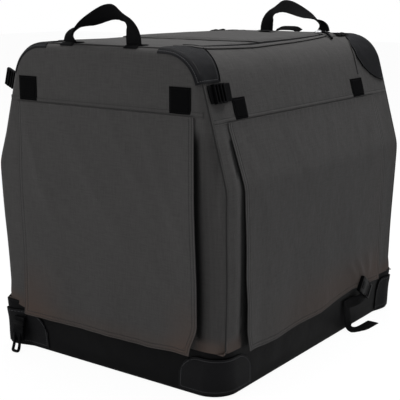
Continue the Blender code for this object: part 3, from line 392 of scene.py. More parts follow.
def webbing_finish(name, colour, ribs=0.0017):
    """Flat polyester webbing: ribs across it, in a herringbone, with a bound edge."""
    f = Finish(name, colour, 0.72, specular_ior_level=0.04)
    at, u, v = f.cloth()
    lean = abs((u * (math.pi / 0.0095)).sine()) * 2.2
    rib = (v * (2 * math.pi / ribs) + lean).sine()
    end = (u * (2 * math.pi / 0.0011)).sine()
    fuzz = f.noise(at, 1500, 2.0, 0.6)
    base = f.mixed((rib * 0.5 + 0.5).held() * 0.7, faded(colour, 0.55), faded(colour, 1.55))
    base = f.mixed((fuzz * 1.4 - 0.4).held() * 0.35, base, faded(colour, 3.0))
    row, dent = f.stitches(f.painted("edge"), v, (0.0030,), 0.0032, 0.0006)
    sewn = f.painted("sewn").held()
    f.colour(f.mixed(row * sewn * 0.6, base, faded(colour, 3.4)))
    f.roughness(0.62 + fuzz * 0.2)
    f.relief(rib * 0.00013 + end * 0.00005 + fuzz * 0.00006 - dent * sewn * 0.0004)
    return f.material


def velcro_finish(name, colour):
    """Loop pile, with a sewn border."""
    f = Finish(name, colour, 0.93, specular_ior_level=0.04)
    at, u, v = f.cloth()
    pile = f.cells(at, 820)
    fuzz = f.noise(at, 1300, 3.0, 0.7)
    tufts = f.noise(at, 210, 3.0, 0.6)
    base = f.mixed((fuzz * 1.7 - 0.45).held(), faded(colour, 0.5), faded(colour, 2.0))
    base = f.mixed((tufts * 2.0 - 0.8).held() * 0.4, base, faded(colour, 2.6))
    row, dent = f.stitches(f.painted("edge"), u + v, (0.0034,), 0.0034, 0.0006)
    f.colour(f.mixed(row * 0.7, base, faded(colour, 3.6)))
    f.relief((1 - pile) * 0.00022 + fuzz * 0.00035 + tufts * 0.0003 - dent * 0.0009)
    return f.material


def net_finish(name, colour, pitch):
    """Knitted window net: a lattice of round holes."""
    f = Finish(name, colour, 0.70, sheen_weight=0.1, specular_ior_level=0.3)
    at, u, v = f.cloth()
    step = math.pi / pitch
    across = ((u + v * 0.577) * step).sine()
    over = ((u - v * 0.577) * step).sine()
    level = (v * (1.1547 * step)).sine()
    hole = (abs(across) + abs(over) + abs(level)) / 3
    open_share = hole.eased(0.58, 0.70)
    fuzz = f.noise(at, 1800, 2.0)
    f.colour(f.mixed(fuzz, faded(colour, 0.6), faded(colour, 1.9)))
    f.feed(f.shader.inputs["Alpha"], (1 - open_share * 0.98).held())
    f.relief(0 - hole * 0.0002 + fuzz * 0.00005)
    f.material.surface_render_method = "DITHERED"
    return f.material


def fleece_finish(name, colour):
    """Short cropped pile, brushed in patches."""
    f = Finish(name, colour, 0.96, sheen_weight=0.35, sheen_roughness=0.5,
               specular_ior_level=0.1)
    spot = f.place()
    curl = f.noise(spot, 420, 4.0, 0.7)
    brushed = f.noise(spot, 30, 4.0, 0.6)
    nap = f.cells(spot, 520)
    base = f.mixed((curl * 1.6 - 0.3).held(), faded(colour, 0.62), faded(colour, 1.25))
    base = f.mixed((brushed * 1.8 - 0.5).held() * 0.4, base, faded(colour, 0.75))
    f.colour(f.mixed(f.painted("sewn").held() * 0.45, base, faded(colour, 0.5)))
    f.relief(curl * 0.0010 + nap * 0.0006 + brushed * 0.0012)
    return f.material


def moulded_finish(name, colour):
    """Moulded plastic with a fine spark-eroded grain and rubbed high spots."""
    roughness = 0.42
    f = Finish(name, colour, roughness, specular_ior_level=0.04)
    spot = f.place()
    grain = f.noise(spot, 1900, 2.0, 0.6)
    rub = f.noise(spot, 60, 4.0, 0.7)
    f.colour(f.mixed((rub * 2.4 - 0.9).held() * 0.4, colour, faded(colour, 2.4)))
    f.roughness(roughness - 0.06 + grain * 0.14 + rub * 0.06)
    f.relief(grain * 0.00007)
    return f.material


def steel_finish(name, colour, roughness, metallic, drawn):
    """Tube steel: powder-coated or bare, with fine lines along or round it."""
    f = Finish(name, colour, roughness, metallic)
    spot = f.place()
    lines = f.noise(f.stretched(spot, drawn), 600, 3.0, 0.7)
    orange = f.noise(spot, 900, 2.0)
    wear = f.noise(spot, 35, 5.0, 0.7)
    f.colour(f.mixed((wear * 3.0 - 1.5).held() * 0.5, faded(colour, 0.85), faded(colour, 1.9)))
    f.roughness(roughness - 0.08 + lines * 0.16)
    f.relief(lines * 0.00003 + orange * 0.00005)
    return f.material


def board_finish(name, colour):
    """Wrapped fibreboard: long fibres and a few scuffs."""
    f = Finish(name, colour, 0.78)
    spot = f.place()
    fibre = f.noise(f.stretched(spot, (1, 0.2, 1)), 260, 5.0, 0.7)
    scuff = f.noise(spot, 18, 5.0, 0.7)
    base = f.mixed((fibre * 1.6 - 0.3).held(), faded(colour, 0.65), faded(colour, 1.4))
    f.colour(f.mixed((scuff * 2.6 - 1.2).held() * 0.5, base, faded(colour, 1.9)))
    f.relief(fibre * 0.0002)
    return f.material


# Shapes that pieces share


def deselect():
    if bpy.context.object and bpy.context.object.mode != "OBJECT":
        bpy.ops.object.mode_set(mode="OBJECT")
    bpy.ops.object.select_all(action="DESELECT")


def take(made):
    """Makes one object the selected and active one."""
    deselect()
    made.select_set(True)
    bpy.context.view_layer.objects.active = made
    return made


def settle(made):
    """Puts the object's place in its mesh."""
    take(made)
    bpy.ops.object.transform_apply(location=True, rotation=True, scale=True)
    return made


def applied(made, kind, **settings):
    take(made)
    step = made.modifiers.new(kind.lower(), kind)
    for key, value in settings.items():
        setattr(step, key, value)
    bpy.ops.object.modifier_apply(modifier=step.name)
    return made


def smooth(made, degrees=50):
    take(made)
    bpy.ops.object.shade_smooth_by_angle(angle=math.radians(degrees))
    return made


STIFF_BODIES = ("front_handle_body", "rear_handle_body", "zip_slider")
LEFT_BULGE = ((0.100, 0.0), (0.140, 0.0026), (0.230, 0.0055), (0.305, 0.0064), (0.390, 0.0047),
              (0.430, 0.0047), (0.500, 0.0), (1.0, 0.0))
BLOUSE = 0.0245


def between(rows, at):
    """The value at a place, from rows of places and values."""
    if at <= rows[0][0]:
        return rows[0][1]
    for (a, low), (b, high) in zip(rows, rows[1:]):
        if at <= b:
            return low + (high - low) * (at - a) / (b - a)
    return rows[-1][1]


def bloused(made):
    """Lets the cloth stand out over its hoops at both ends, and bulge on the left side."""
    for vert in made.data.vertices:
        x, y, z = vert.co
        vert.co.y = y * (1 + BLOUSE * eased(z, 0.20, 0.43))
        if x < -0.20:
            vert.co.x = x - between(LEFT_BULGE, z) * eased(-x, 0.20, 0.28)
    return made


def dressed(made, finish, body, replaced=()):
    """Gives a finished piece its material, the body it rides on and the nodes it stands for."""
    if body not in STIFF_BODIES:
        bloused(made)
    made.data.materials.clear()
    made.data.materials.append(finish)
    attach(made, body)
    if replaced:
        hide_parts(*replaced)
    return made


def folding(made):
    """Gives the piece its own copy of its mesh."""
    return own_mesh(made)


def shoulder_arc():
    """The round shoulder of the outline: its centre, and where it starts and ends."""
    lean = math.atan(SIDE_LEAN)
    reach = SHOULDER_R * math.tan((math.pi / 2 - lean) / 2)
    centre_x = WAIST_HALF - (HEIGHT - WAIST_Z) * SIDE_LEAN - reach
    return centre_x, HEIGHT - SHOULDER_R, lean


class Outline:
    """Half the canvas outline seen from the front, by its length up from the hem."""

    def __init__(self):
        centre_x, centre_z, lean = shoulder_arc()
        rough = [(BASE_HALF, HEM_Z), (WAIST_HALF, WAIST_Z)]
        for i in range(25):
            turn = lean + (math.pi / 2 - lean) * i / 24
            rough.append((centre_x + SHOULDER_R * math.cos(turn),
                          centre_z + SHOULDER_R * math.sin(turn)))
        rough.append((ROOF_SEAM_X, HEIGHT))
        fine = []
        for (ax, az), (bx, bz) in zip(rough, rough[1:]):
            count = max(1, int(math.hypot(bx - ax, bz - az) / 0.004))
            fine += [(ax + (bx - ax) * i / count, az + (bz - az) * i / count)
                     for i in range(count)]
        fine.append(rough[-1])
        for _ in range(10):
            middle = [((a[0] + b[0] * 2 + c[0]) / 4, (a[1] + b[1] * 2 + c[1]) / 4)
                      for a, b, c in zip(fine, fine[1:], fine[2:])]
            fine = [fine[0]] + middle + [fine[-1]]
        self.points = fine
        self.lengths = [0.0]
        for (ax, az), (bx, bz) in zip(fine, fine[1:]):
            self.lengths.append(self.lengths[-1] + math.hypot(bx - ax, bz - az))
        self.length = self.lengths[-1]

    def at(self, run, out=0.0):
        """The point run metres up from the hem, moved out from the cloth."""
        run = min(run, self.length)
        low = 0
        high = len(self.lengths) - 1
        while high - low > 1:
            middle = (low + high) // 2
            if self.lengths[middle] <= run:
                low = middle
            else:
                high = middle
        share = (run - self.lengths[low]) / (self.lengths[high] - self.lengths[low])
        ax, az = self.points[low]
        bx, bz = self.points[high]
        size = math.hypot(bx - ax, bz - az)
        nx, nz = (bz - az) / size, (ax - bx) / size
        before = self.points[max(low - 1, 0)]
        after = self.points[min(high + 1, len(self.points) - 1)]
        wide = math.hypot(after[0] - before[0], after[1] - before[1])
        nx = (nx + (after[1] - before[1]) / wide) / 2
        nz = (nz + (before[0] - after[0]) / wide) / 2
        return ax + (bx - ax) * share + nx * out, az + (bz - az) * share + nz * out

    def run_at(self, z):
        """How far up from the hem the cloth reaches this height."""
        for i, (_, height) in enumerate(self.points):
            if height >= z:
                if i == 0:
                    return 0.0
                before = self.points[i - 1][1]
                share = (z - before) / (height - before)
                return self.lengths[i - 1] + (self.lengths[i] - self.lengths[i - 1]) * share
        return self.length


OUTLINE = Outline()


def run_at_x(x):
    """How far up the cloth lies this far out, on the shoulder."""
    for i in range(len(OUTLINE.points) - 1, 0, -1):
        if OUTLINE.points[i][0] >= x:
            return OUTLINE.lengths[i]
    return OUTLINE.length


ROOF_RUN = run_at_x(ROOF_EDGE_X)


def roof_height(x):
    """The height of the outline over a place on the roof or its shoulders."""
    centre_x, centre_z, _ = shoulder_arc()
    over = min(abs(x) - centre_x, SHOULDER_R * 0.99)
    if over <= 0:
        return HEIGHT
    return centre_z + math.sqrt(SHOULDER_R ** 2 - over ** 2)


def ripple(a, b, scale, seed=0.0):
    """Smooth unevenness from -1 to 1."""
    return noise.noise(Vector((a * scale + seed, b * scale - seed * 0.7, seed * 1.3)))


def crease(a, b, start, end, width, depth):
    """How far a soft crease between two points of the cloth moves it."""
    ax, az = start
    bx, bz = end
    dx, dz = bx - ax, bz - az
    share = ((a - ax) * dx + (b - az) * dz) / (dx * dx + dz * dz)
    held = min(1, max(0, share))
    off = math.hypot(a - ax - dx * held, b - az - dz * held)
    fade = 4 * held * (1 - held) * 0.75 + 0.25
    return depth * fade * math.exp(-((off / width) ** 2))


def eased(value, low, high):
    t = min(1, max(0, (value - low) / (high - low)))
    return t * t * (3 - 2 * t)


def box_distance(a, b, left, right, low, high, corner):
    """How far outside a rounded rectangle a point is, below 0 inside it."""
    ca, cb = (left + right) / 2, (low + high) / 2
    qa = abs(a - ca) - ((right - left) / 2 - corner)
    qb = abs(b - cb) - ((high - low) / 2 - corner)
    return math.hypot(max(qa, 0), max(qb, 0)) + min(max(qa, qb), 0) - corner


def flat_grid(name, left, right, low, high, step):
    """A flat grid added at its size, whose vertices lie at their places on the cloth's pattern."""
    deselect()
    columns = max(2, round((right - left) / step))
    rows = max(2, round((high - low) / step))
    bpy.ops.mesh.primitive_grid_add(
        x_subdivisions=columns, y_subdivisions=rows, size=1,
        location=((left + right) / 2, (low + high) / 2, 0),
    )
    made = bpy.context.object
    made.name = name
    made.data.name = name
    made.scale = (right - left, high - low, 1)
    return settle(made), (right - left) / columns, (high - low) / rows


def cut_window(made, distance, reach, inside=True):
    """Cuts the pattern along distance = 0, after drawing the nearest vertices to that line."""
    mesh = made.data
    for vert in mesh.vertices:
        a, b = vert.co.x, vert.co.y
        off = distance(a, b)
        if abs(off) < reach:
            tiny = 1e-5
            ga = (distance(a + tiny, b) - distance(a - tiny, b)) / (2 * tiny)
            gb = (distance(a, b + tiny) - distance(a, b - tiny)) / (2 * tiny)
            size = max(ga * ga + gb * gb, 1e-6)
            vert.co.x = a - off * ga / size
            vert.co.y = b - off * gb / size
    bm = bmesh.new()
    bm.from_mesh(mesh)
    sign = -1 if inside else 1
    gone = []
    for face in bm.faces:
        middle = face.calc_center_median()
        if distance(middle.x, middle.y) * sign > 0:
            gone.append(face)
    bmesh.ops.delete(bm, geom=gone, context="FACES")
    bm.to_mesh(mesh)
    bm.free()
    return made


def sewn_cloth(made, place, thick, outwards, edge=None, tint=None, shade=None, degrees=60):
    """Turns a flat pattern into cloth: its map in metres, its edge for the stitches, its hang,
    its thickness and its smooth shading."""
    mesh = made.data
    flat = [(v.co.x, v.co.y) for v in mesh.vertices]
    layer = mesh.uv_layers[0] if mesh.uv_layers else mesh.uv_layers.new()
    layer.name = "cloth"
    for loop in mesh.loops:
        layer.data[loop.index].uv = flat[loop.vertex_index]
    for name, fill in (("edge", edge), ("tint", tint), ("shade", shade)):
        if fill is not None:
            values = mesh.attributes.new(name, "FLOAT", "POINT")
            for i, (a, b) in enumerate(flat):
                values.data[i].value = fill(a, b)
    values = mesh.attributes.new("sewn", "FLOAT", "POINT")
    for i in range(len(flat)):
        values.data[i].value = 1.0 if edge is not None else 0.0
    for i, (a, b) in enumerate(flat):
        mesh.vertices[i].co = place(a, b)
    mesh.update()
    turned = sum(outwards(poly.center).dot(poly.normal) * poly.area for poly in mesh.polygons)
    if turned < 0:
        mesh.flip_normals()
    applied(made, "SOLIDIFY", thickness=thick, offset=-1, use_quality_normals=True)
    return smooth(made, degrees)


def from_centre(point):
    return Vector((point.x / BASE_HALF, point.y / DEPTH_HALF, (point.z - 0.3) / 0.4))


def along_y(ey):
    return lambda point: Vector((0, ey, 0))


def along_x(ex):
    return lambda point: Vector((ex, 0, 0.3))


def upwards(point):
    return Vector((0, 0, 1))


def piping(name, points, radius, finish, body, sides=8):
    """A thin round cord sewn in a seam, as a capped tube through these points."""
    bm = bmesh.new()
    rings = []
    side = None
    for i, here in enumerate(points):
        before = points[max(i - 1, 0)]
        after = points[min(i + 1, len(points) - 1)]
        along = (after - before).normalized()
        if side is None:
            side = along.orthogonal().normalized()
        side = (side - along * side.dot(along)).normalized()
        up = along.cross(side)
        rings.append([
            bm.verts.new(here + side * radius * math.cos(2 * math.pi * k / sides)
                         + up * radius * math.sin(2 * math.pi * k / sides))
            for k in range(sides)
        ])
    for low, high in zip(rings, rings[1:]):
        for k in range(sides):
            m = (k + 1) % sides
            bm.faces.new((low[k], low[m], high[m], high[k]))
    bm.faces.new(list(reversed(rings[0])))
    bm.faces.new(rings[-1])
    bmesh.ops.recalc_face_normals(bm, faces=bm.faces)
    mesh = bpy.data.meshes.new(name)
    bm.to_mesh(mesh)
    bm.free()
    made = bpy.data.objects.new(name, mesh)
    bpy.context.collection.objects.link(made)
    smooth(made, 60)
    return dressed(made, finish, body)


# The share of a strap's thickness that is left at its edges
STRAP_EDGE = 0.35


def strap_mesh(name, centres, wides, width, thick, columns=8):
    """Webbing along centres, its width direction given at each, mapped in metres."""
    bm = bmesh.new()
    uv = bm.loops.layers.uv.new("cloth")
    rows = []
    run = 0.0
    runs = []
    for i, here in enumerate(centres):
        if i:
            run += (here - centres[i - 1]).length
        runs.append(run)
        before = centres[max(i - 1, 0)]
        after = centres[min(i + 1, len(centres) - 1)]
        along = (after - before).normalized()
        wide = (wides[i] - along * wides[i].dot(along)).normalized()
        normal = along.cross(wide)
        ring = []
        for face_side in (1, -1):
            for k in range(columns + 1)[::face_side]:
                t = 2 * k / columns - 1
                plump = math.sqrt(max(0.0, 1 - abs(t) ** 6)) * (1 - STRAP_EDGE) + STRAP_EDGE
                out = normal * plump * thick / 2 * face_side
                ring.append((here + wide * t * width / 2 + out, t * width / 2))
        rows.append([(bm.verts.new(p), u) for p, u in ring])
    count = len(rows[0])

    def face(corners):
        made = bm.faces.new([c[0] for c in corners])
        for loop, corner in zip(made.loops, corners):
            loop[uv].uv = (corner[1], corner[2])

    for i in range(len(rows) - 1):
        for k in range(count):
            m = (k + 1) % count
            face([(rows[i][k][0], rows[i][k][1], runs[i]), (rows[i][m][0], rows[i][m][1], runs[i]),
                  (rows[i + 1][m][0], rows[i + 1][m][1], runs[i + 1]),
                  (rows[i + 1][k][0], rows[i + 1][k][1], runs[i + 1])])
    face([(v, u, 0.0) for v, u in reversed(rows[0])])
    face([(v, u, runs[-1]) for v, u in rows[-1]])
    bmesh.ops.recalc_face_normals(bm, faces=bm.faces)
    mesh = bpy.data.meshes.new(name)
    bm.to_mesh(mesh)
    bm.free()
    made = bpy.data.objects.new(name, mesh)
    bpy.context.collection.objects.link(made)
    return smooth(made, 50)


def through(points, count):
    """A smooth line through a few points, as count points at even steps."""
    points = [Vector(p) for p in points]
    padded = [points[0] * 2 - points[1]] + points + [points[-1] * 2 - points[-2]]
    dense = []
    for i in range(len(points) - 1):
        a, b, c, d = padded[i:i + 4]
        for k in range(24):
            t = k / 24
            dense.append(0.5 * ((b * 2) + (c - a) * t + (a * 2 - b * 5 + c * 4 - d) * t ** 2
                                + (b * 3 - a - c * 3 + d) * t ** 3))
    dense.append(points[-1])
    runs = [0.0]
    for a, b in zip(dense, dense[1:]):
        runs.append(runs[-1] + (b - a).length)
    line = []
    j = 0
    for i in range(count):
        goal = runs[-1] * i / (count - 1)
        while j < len(runs) - 2 and runs[j + 1] < goal:
            j += 1
        share = (goal - runs[j]) / max(runs[j + 1] - runs[j], 1e-9)
        line.append(dense[j].lerp(dense[j + 1], min(1, share)))
    return line


# Finishes that the pieces share, made once by the finishes operator
FINISHES = {}


def make_finishes():
    c = bpy.context.scene.crate_colours
    sizes = bpy.context.scene.crate_sizes
    FINISHES["canvas"] = canvas_finish("charcoal_canvas", c.canvas, c.hem_tint,
                                       (0.0032, sizes.hem))
    FINISHES["tarpaulin"] = tarpaulin_finish("coated_tarpaulin", c.tarpaulin)
    FINISHES["patch"] = patch_finish("patch_cloth_blue_black", c.patch, c.thread)
    FINISHES["tub_patch"] = patch_finish("patch_cloth_black", faded(c.patch, 0.55), c.thread)
    FINISHES["webbing"] = webbing_finish("strap_webbing", c.webbing)
    FINISHES["velcro"] = velcro_finish("loop_pile", c.velcro)
    FINISHES["net"] = net_finish("window_net", c.net, sizes.net_pitch)
    FINISHES["fleece"] = fleece_finish("mat_fleece", c.fleece)
    FINISHES["plastic"] = moulded_finish("moulded_black", c.plastic)
    FINISHES["steel"] = steel_finish("powder_coated_tube", (0.030, 0.030, 0.032), 0.42, 0.35,
                                     (1, 1, 0.15))
    FINISHES["rivet"] = steel_finish("rivet_metal", (0.42, 0.42, 0.43), 0.34, 1.0, (0.1, 1, 1))
    FINISHES["board"] = board_finish("wrapped_board", (0.045, 0.042, 0.040))
    FINISHES["zip"] = steel_finish("zip_slider_metal", (0.86, 0.86, 0.87), 0.38, 0.45, (1, 0.2, 1))
    # The seam cords are the canvas at half its lightness: painted shade of the valleys along the
    # seams they lie in
    FINISHES["canvas_cord_painted_shade"] = canvas_finish("canvas_cord_painted_shade", faded(c.canvas, 0.5), c.hem_tint)
    FINISHES["webbing_cord"] = webbing_finish("edge_cord", c.webbing, 0.0030)
    FINISHES["coil"] = webbing_finish("zip_coil", faded(c.webbing, 1.5), 0.0024)


def refinish_frame():
    """The rigid CAD pieces stay as they are and get worked finishes."""
    groups = {
        "steel": ["base_frame", "front_hoop", "rear_hoop", "left_roof_rail", "right_roof_rail"],
        "plastic": [],
        "rivet": [],
        "board": ["floor_board"],
    }
    for end, _ in ENDS:
        for side, _ in SIDES:
            groups["steel"].append(f"{end}_{side}_leg")
            groups["plastic"].append(f"{end}_{side}_corner_bracket")
            groups["rivet"].append(f"{end}_{side}_elbow_pin")
    for finish, nodes in groups.items():
        for name in nodes:
            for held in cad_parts[name].material_slots:
                held.material = FINISHES[finish]


# Tub and mat


# How far each corner of the tub is pulled out, like a dog's ear, along each of its two sides
TUB_EARS = {(-1, -1): 0.0225, (1, 1): 0.0190}
# How far the walls' hem flares out over those ears
HEM_FLARES = {(-1, -1): 0.0026, (1, 1): 0.0044}


def tub_ear(sx, sy, turn, z):
    """The pull at a corner, by the angle round it and the height."""
    pull = TUB_EARS.get((sx, sy), 0.0) * math.sin(2 * turn) ** 2
    pull *= 1.14 - 0.18 * eased(z, 0.0, 0.070) - 0.05 * eased(z, 0.084, 0.104)
    return Vector((sx * pull, sy * pull, 0))


def tub_rim(point):
    """How much higher than elsewhere the rim is near the corners, under the wall's hem."""
    near = math.hypot(point.x - TUB_HALF_X, point.y + TUB_HALF_Y)
    left = math.hypot(point.x + TUB_HALF_X, point.y + TUB_HALF_Y)
    return (0.006 + 0.004 * math.exp(-((near / 0.05) ** 2))
            + 0.005 * math.exp(-((left / 0.03) ** 2)))


def tub_ring(z, out, count):
    """Points round the tub at a height: straight runs and round corners, with its bulges."""
    share = max(0.0, z - 0.006) / (TUB_TOP - 0.006)
    taper = 0.005 * (1 - share)
    foot = 0.0
    if z < 0.006:
        foot = 0.006 - math.sqrt(max(0.0, 0.006 ** 2 - (0.006 - z) ** 2))
    corner = 0.055 - 0.010 * share
    hx = TUB_HALF_X - taper - foot + out
    hy = TUB_HALF_Y - taper - foot + out
    runs = [2 * (hy - corner), corner * math.pi / 2, 2 * (hx - corner), corner * math.pi / 2] * 2
    total = sum(runs)
    points = []
    for i in range(count):
        run = total * i / count
        k = 0
        while run > runs[k]:
            run -= runs[k]
            k += 1
        if k % 2 == 0:
            turn = math.pi / 2 * (k // 2)
            half = runs[k] / 2
            far = hx if k % 4 == 0 else hy
            local = Vector((far, run - half, 0))
        else:
            turn = math.pi / 2 * (k // 2)
            first = hx if k % 4 == 1 else hy
            second = hy if k % 4 == 1 else hx
            angle = run / corner
            local = Vector((first - corner + corner * math.cos(angle),
                            second - corner + corner * math.sin(angle), 0))
        local.rotate(Matrix.Rotation(turn, 3, "Z"))
        if k % 2 == 1:
            local += tub_ear(int(math.copysign(1, local.x)), int(math.copysign(1, local.y)),
                             angle, z)
        points.append((Vector((local.x, local.y, z)), total * i / count))
    return points


def make_tub():
    heights = [0.0, 0.0008, 0.0022, 0.004, 0.006] + [0.006 + 0.094 * i / 22 for i in range(1, 23)]
    count = 600
    bm = bmesh.new()
    uv = bm.loops.layers.uv.new("cloth")
    edge = bm.verts.layers.float.new("edge")
    sewn = bm.verts.layers.float.new("sewn")
    rows = []
    for z in heights:
        ring = []
        for point, run in tub_ring(z, 0.0, count):
            middle = eased(z, 0.004, 0.03) * (1 - eased(z, 0.07, 0.096))
            dent = ripple(run, z * 1.4, 9, 3.1) * 0.0016 + ripple(run, z * 0.8, 26, 1.7) * 0.0006
            if abs(point.x) > abs(point.y) * 0.79:
                outward = Vector((math.copysign(1, point.x), 0, 0))
            else:
                outward = Vector((0, math.copysign(1, point.y), 0))
            moved = point + outward * min(0.0006, dent - 0.0010) * middle
            moved.z += tub_rim(point) * eased(z, 0.05, TUB_TOP)
            vert = bm.verts.new(moved)
            vert[edge] = TUB_TOP - z
            vert[sewn] = 1.0
            ring.append((vert, run))
        rows.append((ring, z))
    for (low, z0), (high, z1) in zip(rows, rows[1:]):
        for i in range(count):
            k = (i + 1) % count
            u0, u1 = low[i][1], low[k][1] if k else low[i][1] + 0.0032
            face = bm.faces.new((low[i][0], low[k][0], high[k][0], high[i][0]))
            for loop, value in zip(face.loops, ((u0, z0), (u1, z0), (u1, z1), (u0, z1))):
                loop[uv].uv = value
    floor = [v for v, _ in rows[0][0]]
    rings = [floor]
    for share in (0.8, 0.5, 0.2):
        ring = []
        for v in floor:
            made = bm.verts.new((v.co.x * share, v.co.y * share, 0.0004 * (1 - share)))
            made[edge] = 0.1
            ring.append(made)
        rings.append(ring)
    for low, high in zip(rings, rings[1:]):
        for i in range(count):
            k = (i + 1) % count
            face = bm.faces.new((low[i], low[k], high[k], high[i]))
            for loop in face.loops:
                loop[uv].uv = (loop.vert.co.x, loop.vert.co.y)
    face = bm.faces.new(rings[-1])
    for loop in face.loops:
        loop[uv].uv = (loop.vert.co.x, loop.vert.co.y)
    bmesh.ops.recalc_face_normals(bm, faces=bm.faces)
    if sum(f.normal.z * f.calc_area() for f in bm.faces if abs(f.normal.z) > 0.9) > 0:
        bmesh.ops.reverse_faces(bm, faces=bm.faces)
    mesh = bpy.data.meshes.new("tub_shell")
    bm.to_mesh(mesh)
    bm.free()
    tub = bpy.data.objects.new("tub_shell", mesh)
    bpy.context.collection.objects.link(tub)
    applied(tub, "SOLIDIFY", thickness=0.003, offset=-1, use_quality_normals=True)
    smooth(tub, 50)
    dressed(tub, FINISHES["tarpaulin"], "base", ["base_tub"])


def make_tub_patches():
    """Reinforcing patches round the tub's corners, with an arched and stitched top edge."""
    reach = 0.096

    def top(s):
        dip = min(1.0, max(0.0, 1 - (reach - abs(s)) / 0.052))
        return 0.087 - 0.058 * (1 - math.sqrt(1 - dip * dip * 0.98))

    for end, ey in ENDS:
        for side, ex in SIDES:
            name = f"{end}_{side}_tub_corner"
            # The rear patches end nearer to the corner on the tub's sides
            short = 2.1 if ey > 0 else 1.0

            def outside(s, z, short=short):
                if s < 0:
                    s *= short
                return max(z - top(s), abs(s) - reach + 0.001, 0.008 - z)

            made, _, _ = flat_grid(name, -reach, reach, 0.008, 0.089, 0.0035)
            cut_window(made, outside, 0.0019, inside=False)

            def place(s, z, ex=ex, ey=ey):
                share = max(0.0, z - 0.006) / (TUB_TOP - 0.006)
                corner = 0.055 - 0.010 * share
                taper = 0.005 * (1 - share)
                hx = TUB_HALF_X - taper
                hy = TUB_HALF_Y - taper
                out = 0.0022 + 0.0010 * ripple(s, z, 22, 2.0)
                turn = corner * math.pi / 4
                if s < -turn:
                    x, y = hx + out, hy - corner + (s + turn)
                elif s > turn:
                    x, y = hx - corner - (s - turn), hy + out
                else:
                    angle = math.pi / 4 + s / corner
                    x = hx - corner + (corner + out) * math.cos(angle)
                    y = hy - corner + (corner + out) * math.sin(angle)
                    return Vector((ex * x, ey * y, z)) + tub_ear(ex, ey, angle, z)
                return Vector((ex * x, ey * y, z))

            sewn_cloth(made, place, 0.0013, lambda p: Vector((p.x, p.y * 0.8, 0)),
                       edge=lambda s, z, outside=outside: -outside(s, z))
            dressed(made, FINISHES["tub_patch"], "base", [f"{end}_{side}_tub_patch"])


def make_mat():
    """A quilted pad: sewn channels across it, a crowned top and a rounded edge."""
    quilts = bpy.context.scene.crate_sizes.quilts
    hx = TUB_HALF_X - 0.003 - 0.005 - 0.013
    hy = TUB_HALF_Y - 0.003 - 0.005 - 0.013
    corner = 0.050
    made, _, _ = flat_grid("mat_cover", -hx, hx, -hy, hy, 0.009)
    cut_window(made, lambda a, b: box_distance(a, b, -hx, hx, -hy, hy, corner), 0.006,
               inside=False)
    mesh = made.data
    flat = [(v.co.x, v.co.y) for v in mesh.vertices]
    layer = mesh.uv_layers[0]
    layer.name = "cloth"
    for loop in mesh.loops:
        layer.data[loop.index].uv = flat[loop.vertex_index]
    values = mesh.attributes.new("sewn", "FLOAT", "POINT")
    pitch = 2 * hy / quilts
    low = 0.0076

    def height(a, b):
        off = -box_distance(a, b, -hx, hx, -hy, hy, corner)
        rim = math.sqrt(min(1.0, max(0.0, off) / 0.014))
        channel = abs(math.sin(math.pi * (b + hy) / pitch))
        across = abs(math.sin(math.pi * (a + hx) / pitch))
        quilt = 0.55 + 0.45 * (channel * across) ** 0.45
        return 0.006 + 0.0195 * rim * quilt + 0.0006 * ripple(a, b, 24, 5.0) * rim

    for i, (a, b) in enumerate(flat):
        mesh.vertices[i].co = (a, b, low + height(a, b))
        line = min(abs(math.sin(math.pi * (b + hy) / pitch)),
                   abs(math.sin(math.pi * (a + hx) / pitch)))
        values.data[i].value = 1 - eased(line, 0.0, 0.10)
    take(made)
    bpy.ops.object.mode_set(mode="EDIT")
    bpy.ops.mesh.select_all(action="SELECT")
    bpy.ops.mesh.extrude_region_move(TRANSFORM_OT_translate={"value": (0, 0, -0.004)})
    bpy.ops.object.mode_set(mode="OBJECT")
    chosen = [v for v in mesh.vertices if v.select]
    for v in chosen:
        v.co.z = low
        v.co.x *= 0.985
        v.co.y *= 0.985
    bpy.ops.object.mode_set(mode="EDIT")
    bpy.ops.mesh.select_all(action="SELECT")
    bpy.ops.mesh.normals_make_consistent(inside=False)
    bpy.ops.object.mode_set(mode="OBJECT")
    smooth(made, 60)
    dressed(made, FINISHES["fleece"], "base", ["floor_mat"])


# Walls


def opening_of(end):
    if end == "front":
        return -0.200, 0.200, 0.135, 0.545
    return -0.170, 0.170, 0.300, 0.545


def hit(points, angle, centre):
    """Where the ray from centre at this angle meets a closed line."""
    dx, dz = math.cos(angle), math.sin(angle)
    best = None
    for (ax, az), (bx, bz) in zip(points, points[1:] + points[:1]):
        ex, ez = bx - ax, bz - az
        det = dx * ez - dz * ex
        if abs(det) < 1e-12:
            continue
        px, pz = ax - centre[0], az - centre[1]
        far = (px * ez - pz * ex) / det
        share = (px * dz - pz * dx) / det
        if far > 0 and -1e-9 <= share <= 1 + 1e-9 and (best is None or far > best):
            best = far
    return centre[0] + dx * best, centre[1] + dz * best


def wall_dips(a, b, seed):
    """Soft hollows in a wall, all inwards, so that it never shows through its flap."""
    broad = 0.5 + 0.5 * ripple(a, b * 0.5, 7, seed)
    fine = 0.5 + 0.5 * ripple(a * 1.2, b * 0.35, 26, seed + 4)
    return -(0.0018 * broad ** 2 + 0.0010 * fine ** 2)


def slit_shade(x, z):
    """Painted shade: the dark slit beside the front flap's right edge, the strip that it shades, and
    stripes of painted shade for vertical folds in that strip.
    """
    level = eased(z, 0.100, 0.125) * (1 - eased(z, 0.520, 0.560))
    slit = eased(x, 0.232, 0.238) * (1 - eased(x, 0.243, 0.260))
    strip = 0.20 * eased(x, 0.236, 0.250) * (1 - eased(x, 0.288, 0.296))
    # Painted shade in stripes, standing for vertical folds in the strip
    folds = 0.10 * (0.5 + 0.5 * math.sin(x * 2 * math.pi / 0.013 + 4 * ripple(x, z, 5, 1.0)))
    return max(slit, (strip + folds * (strip > 0.01))) * level


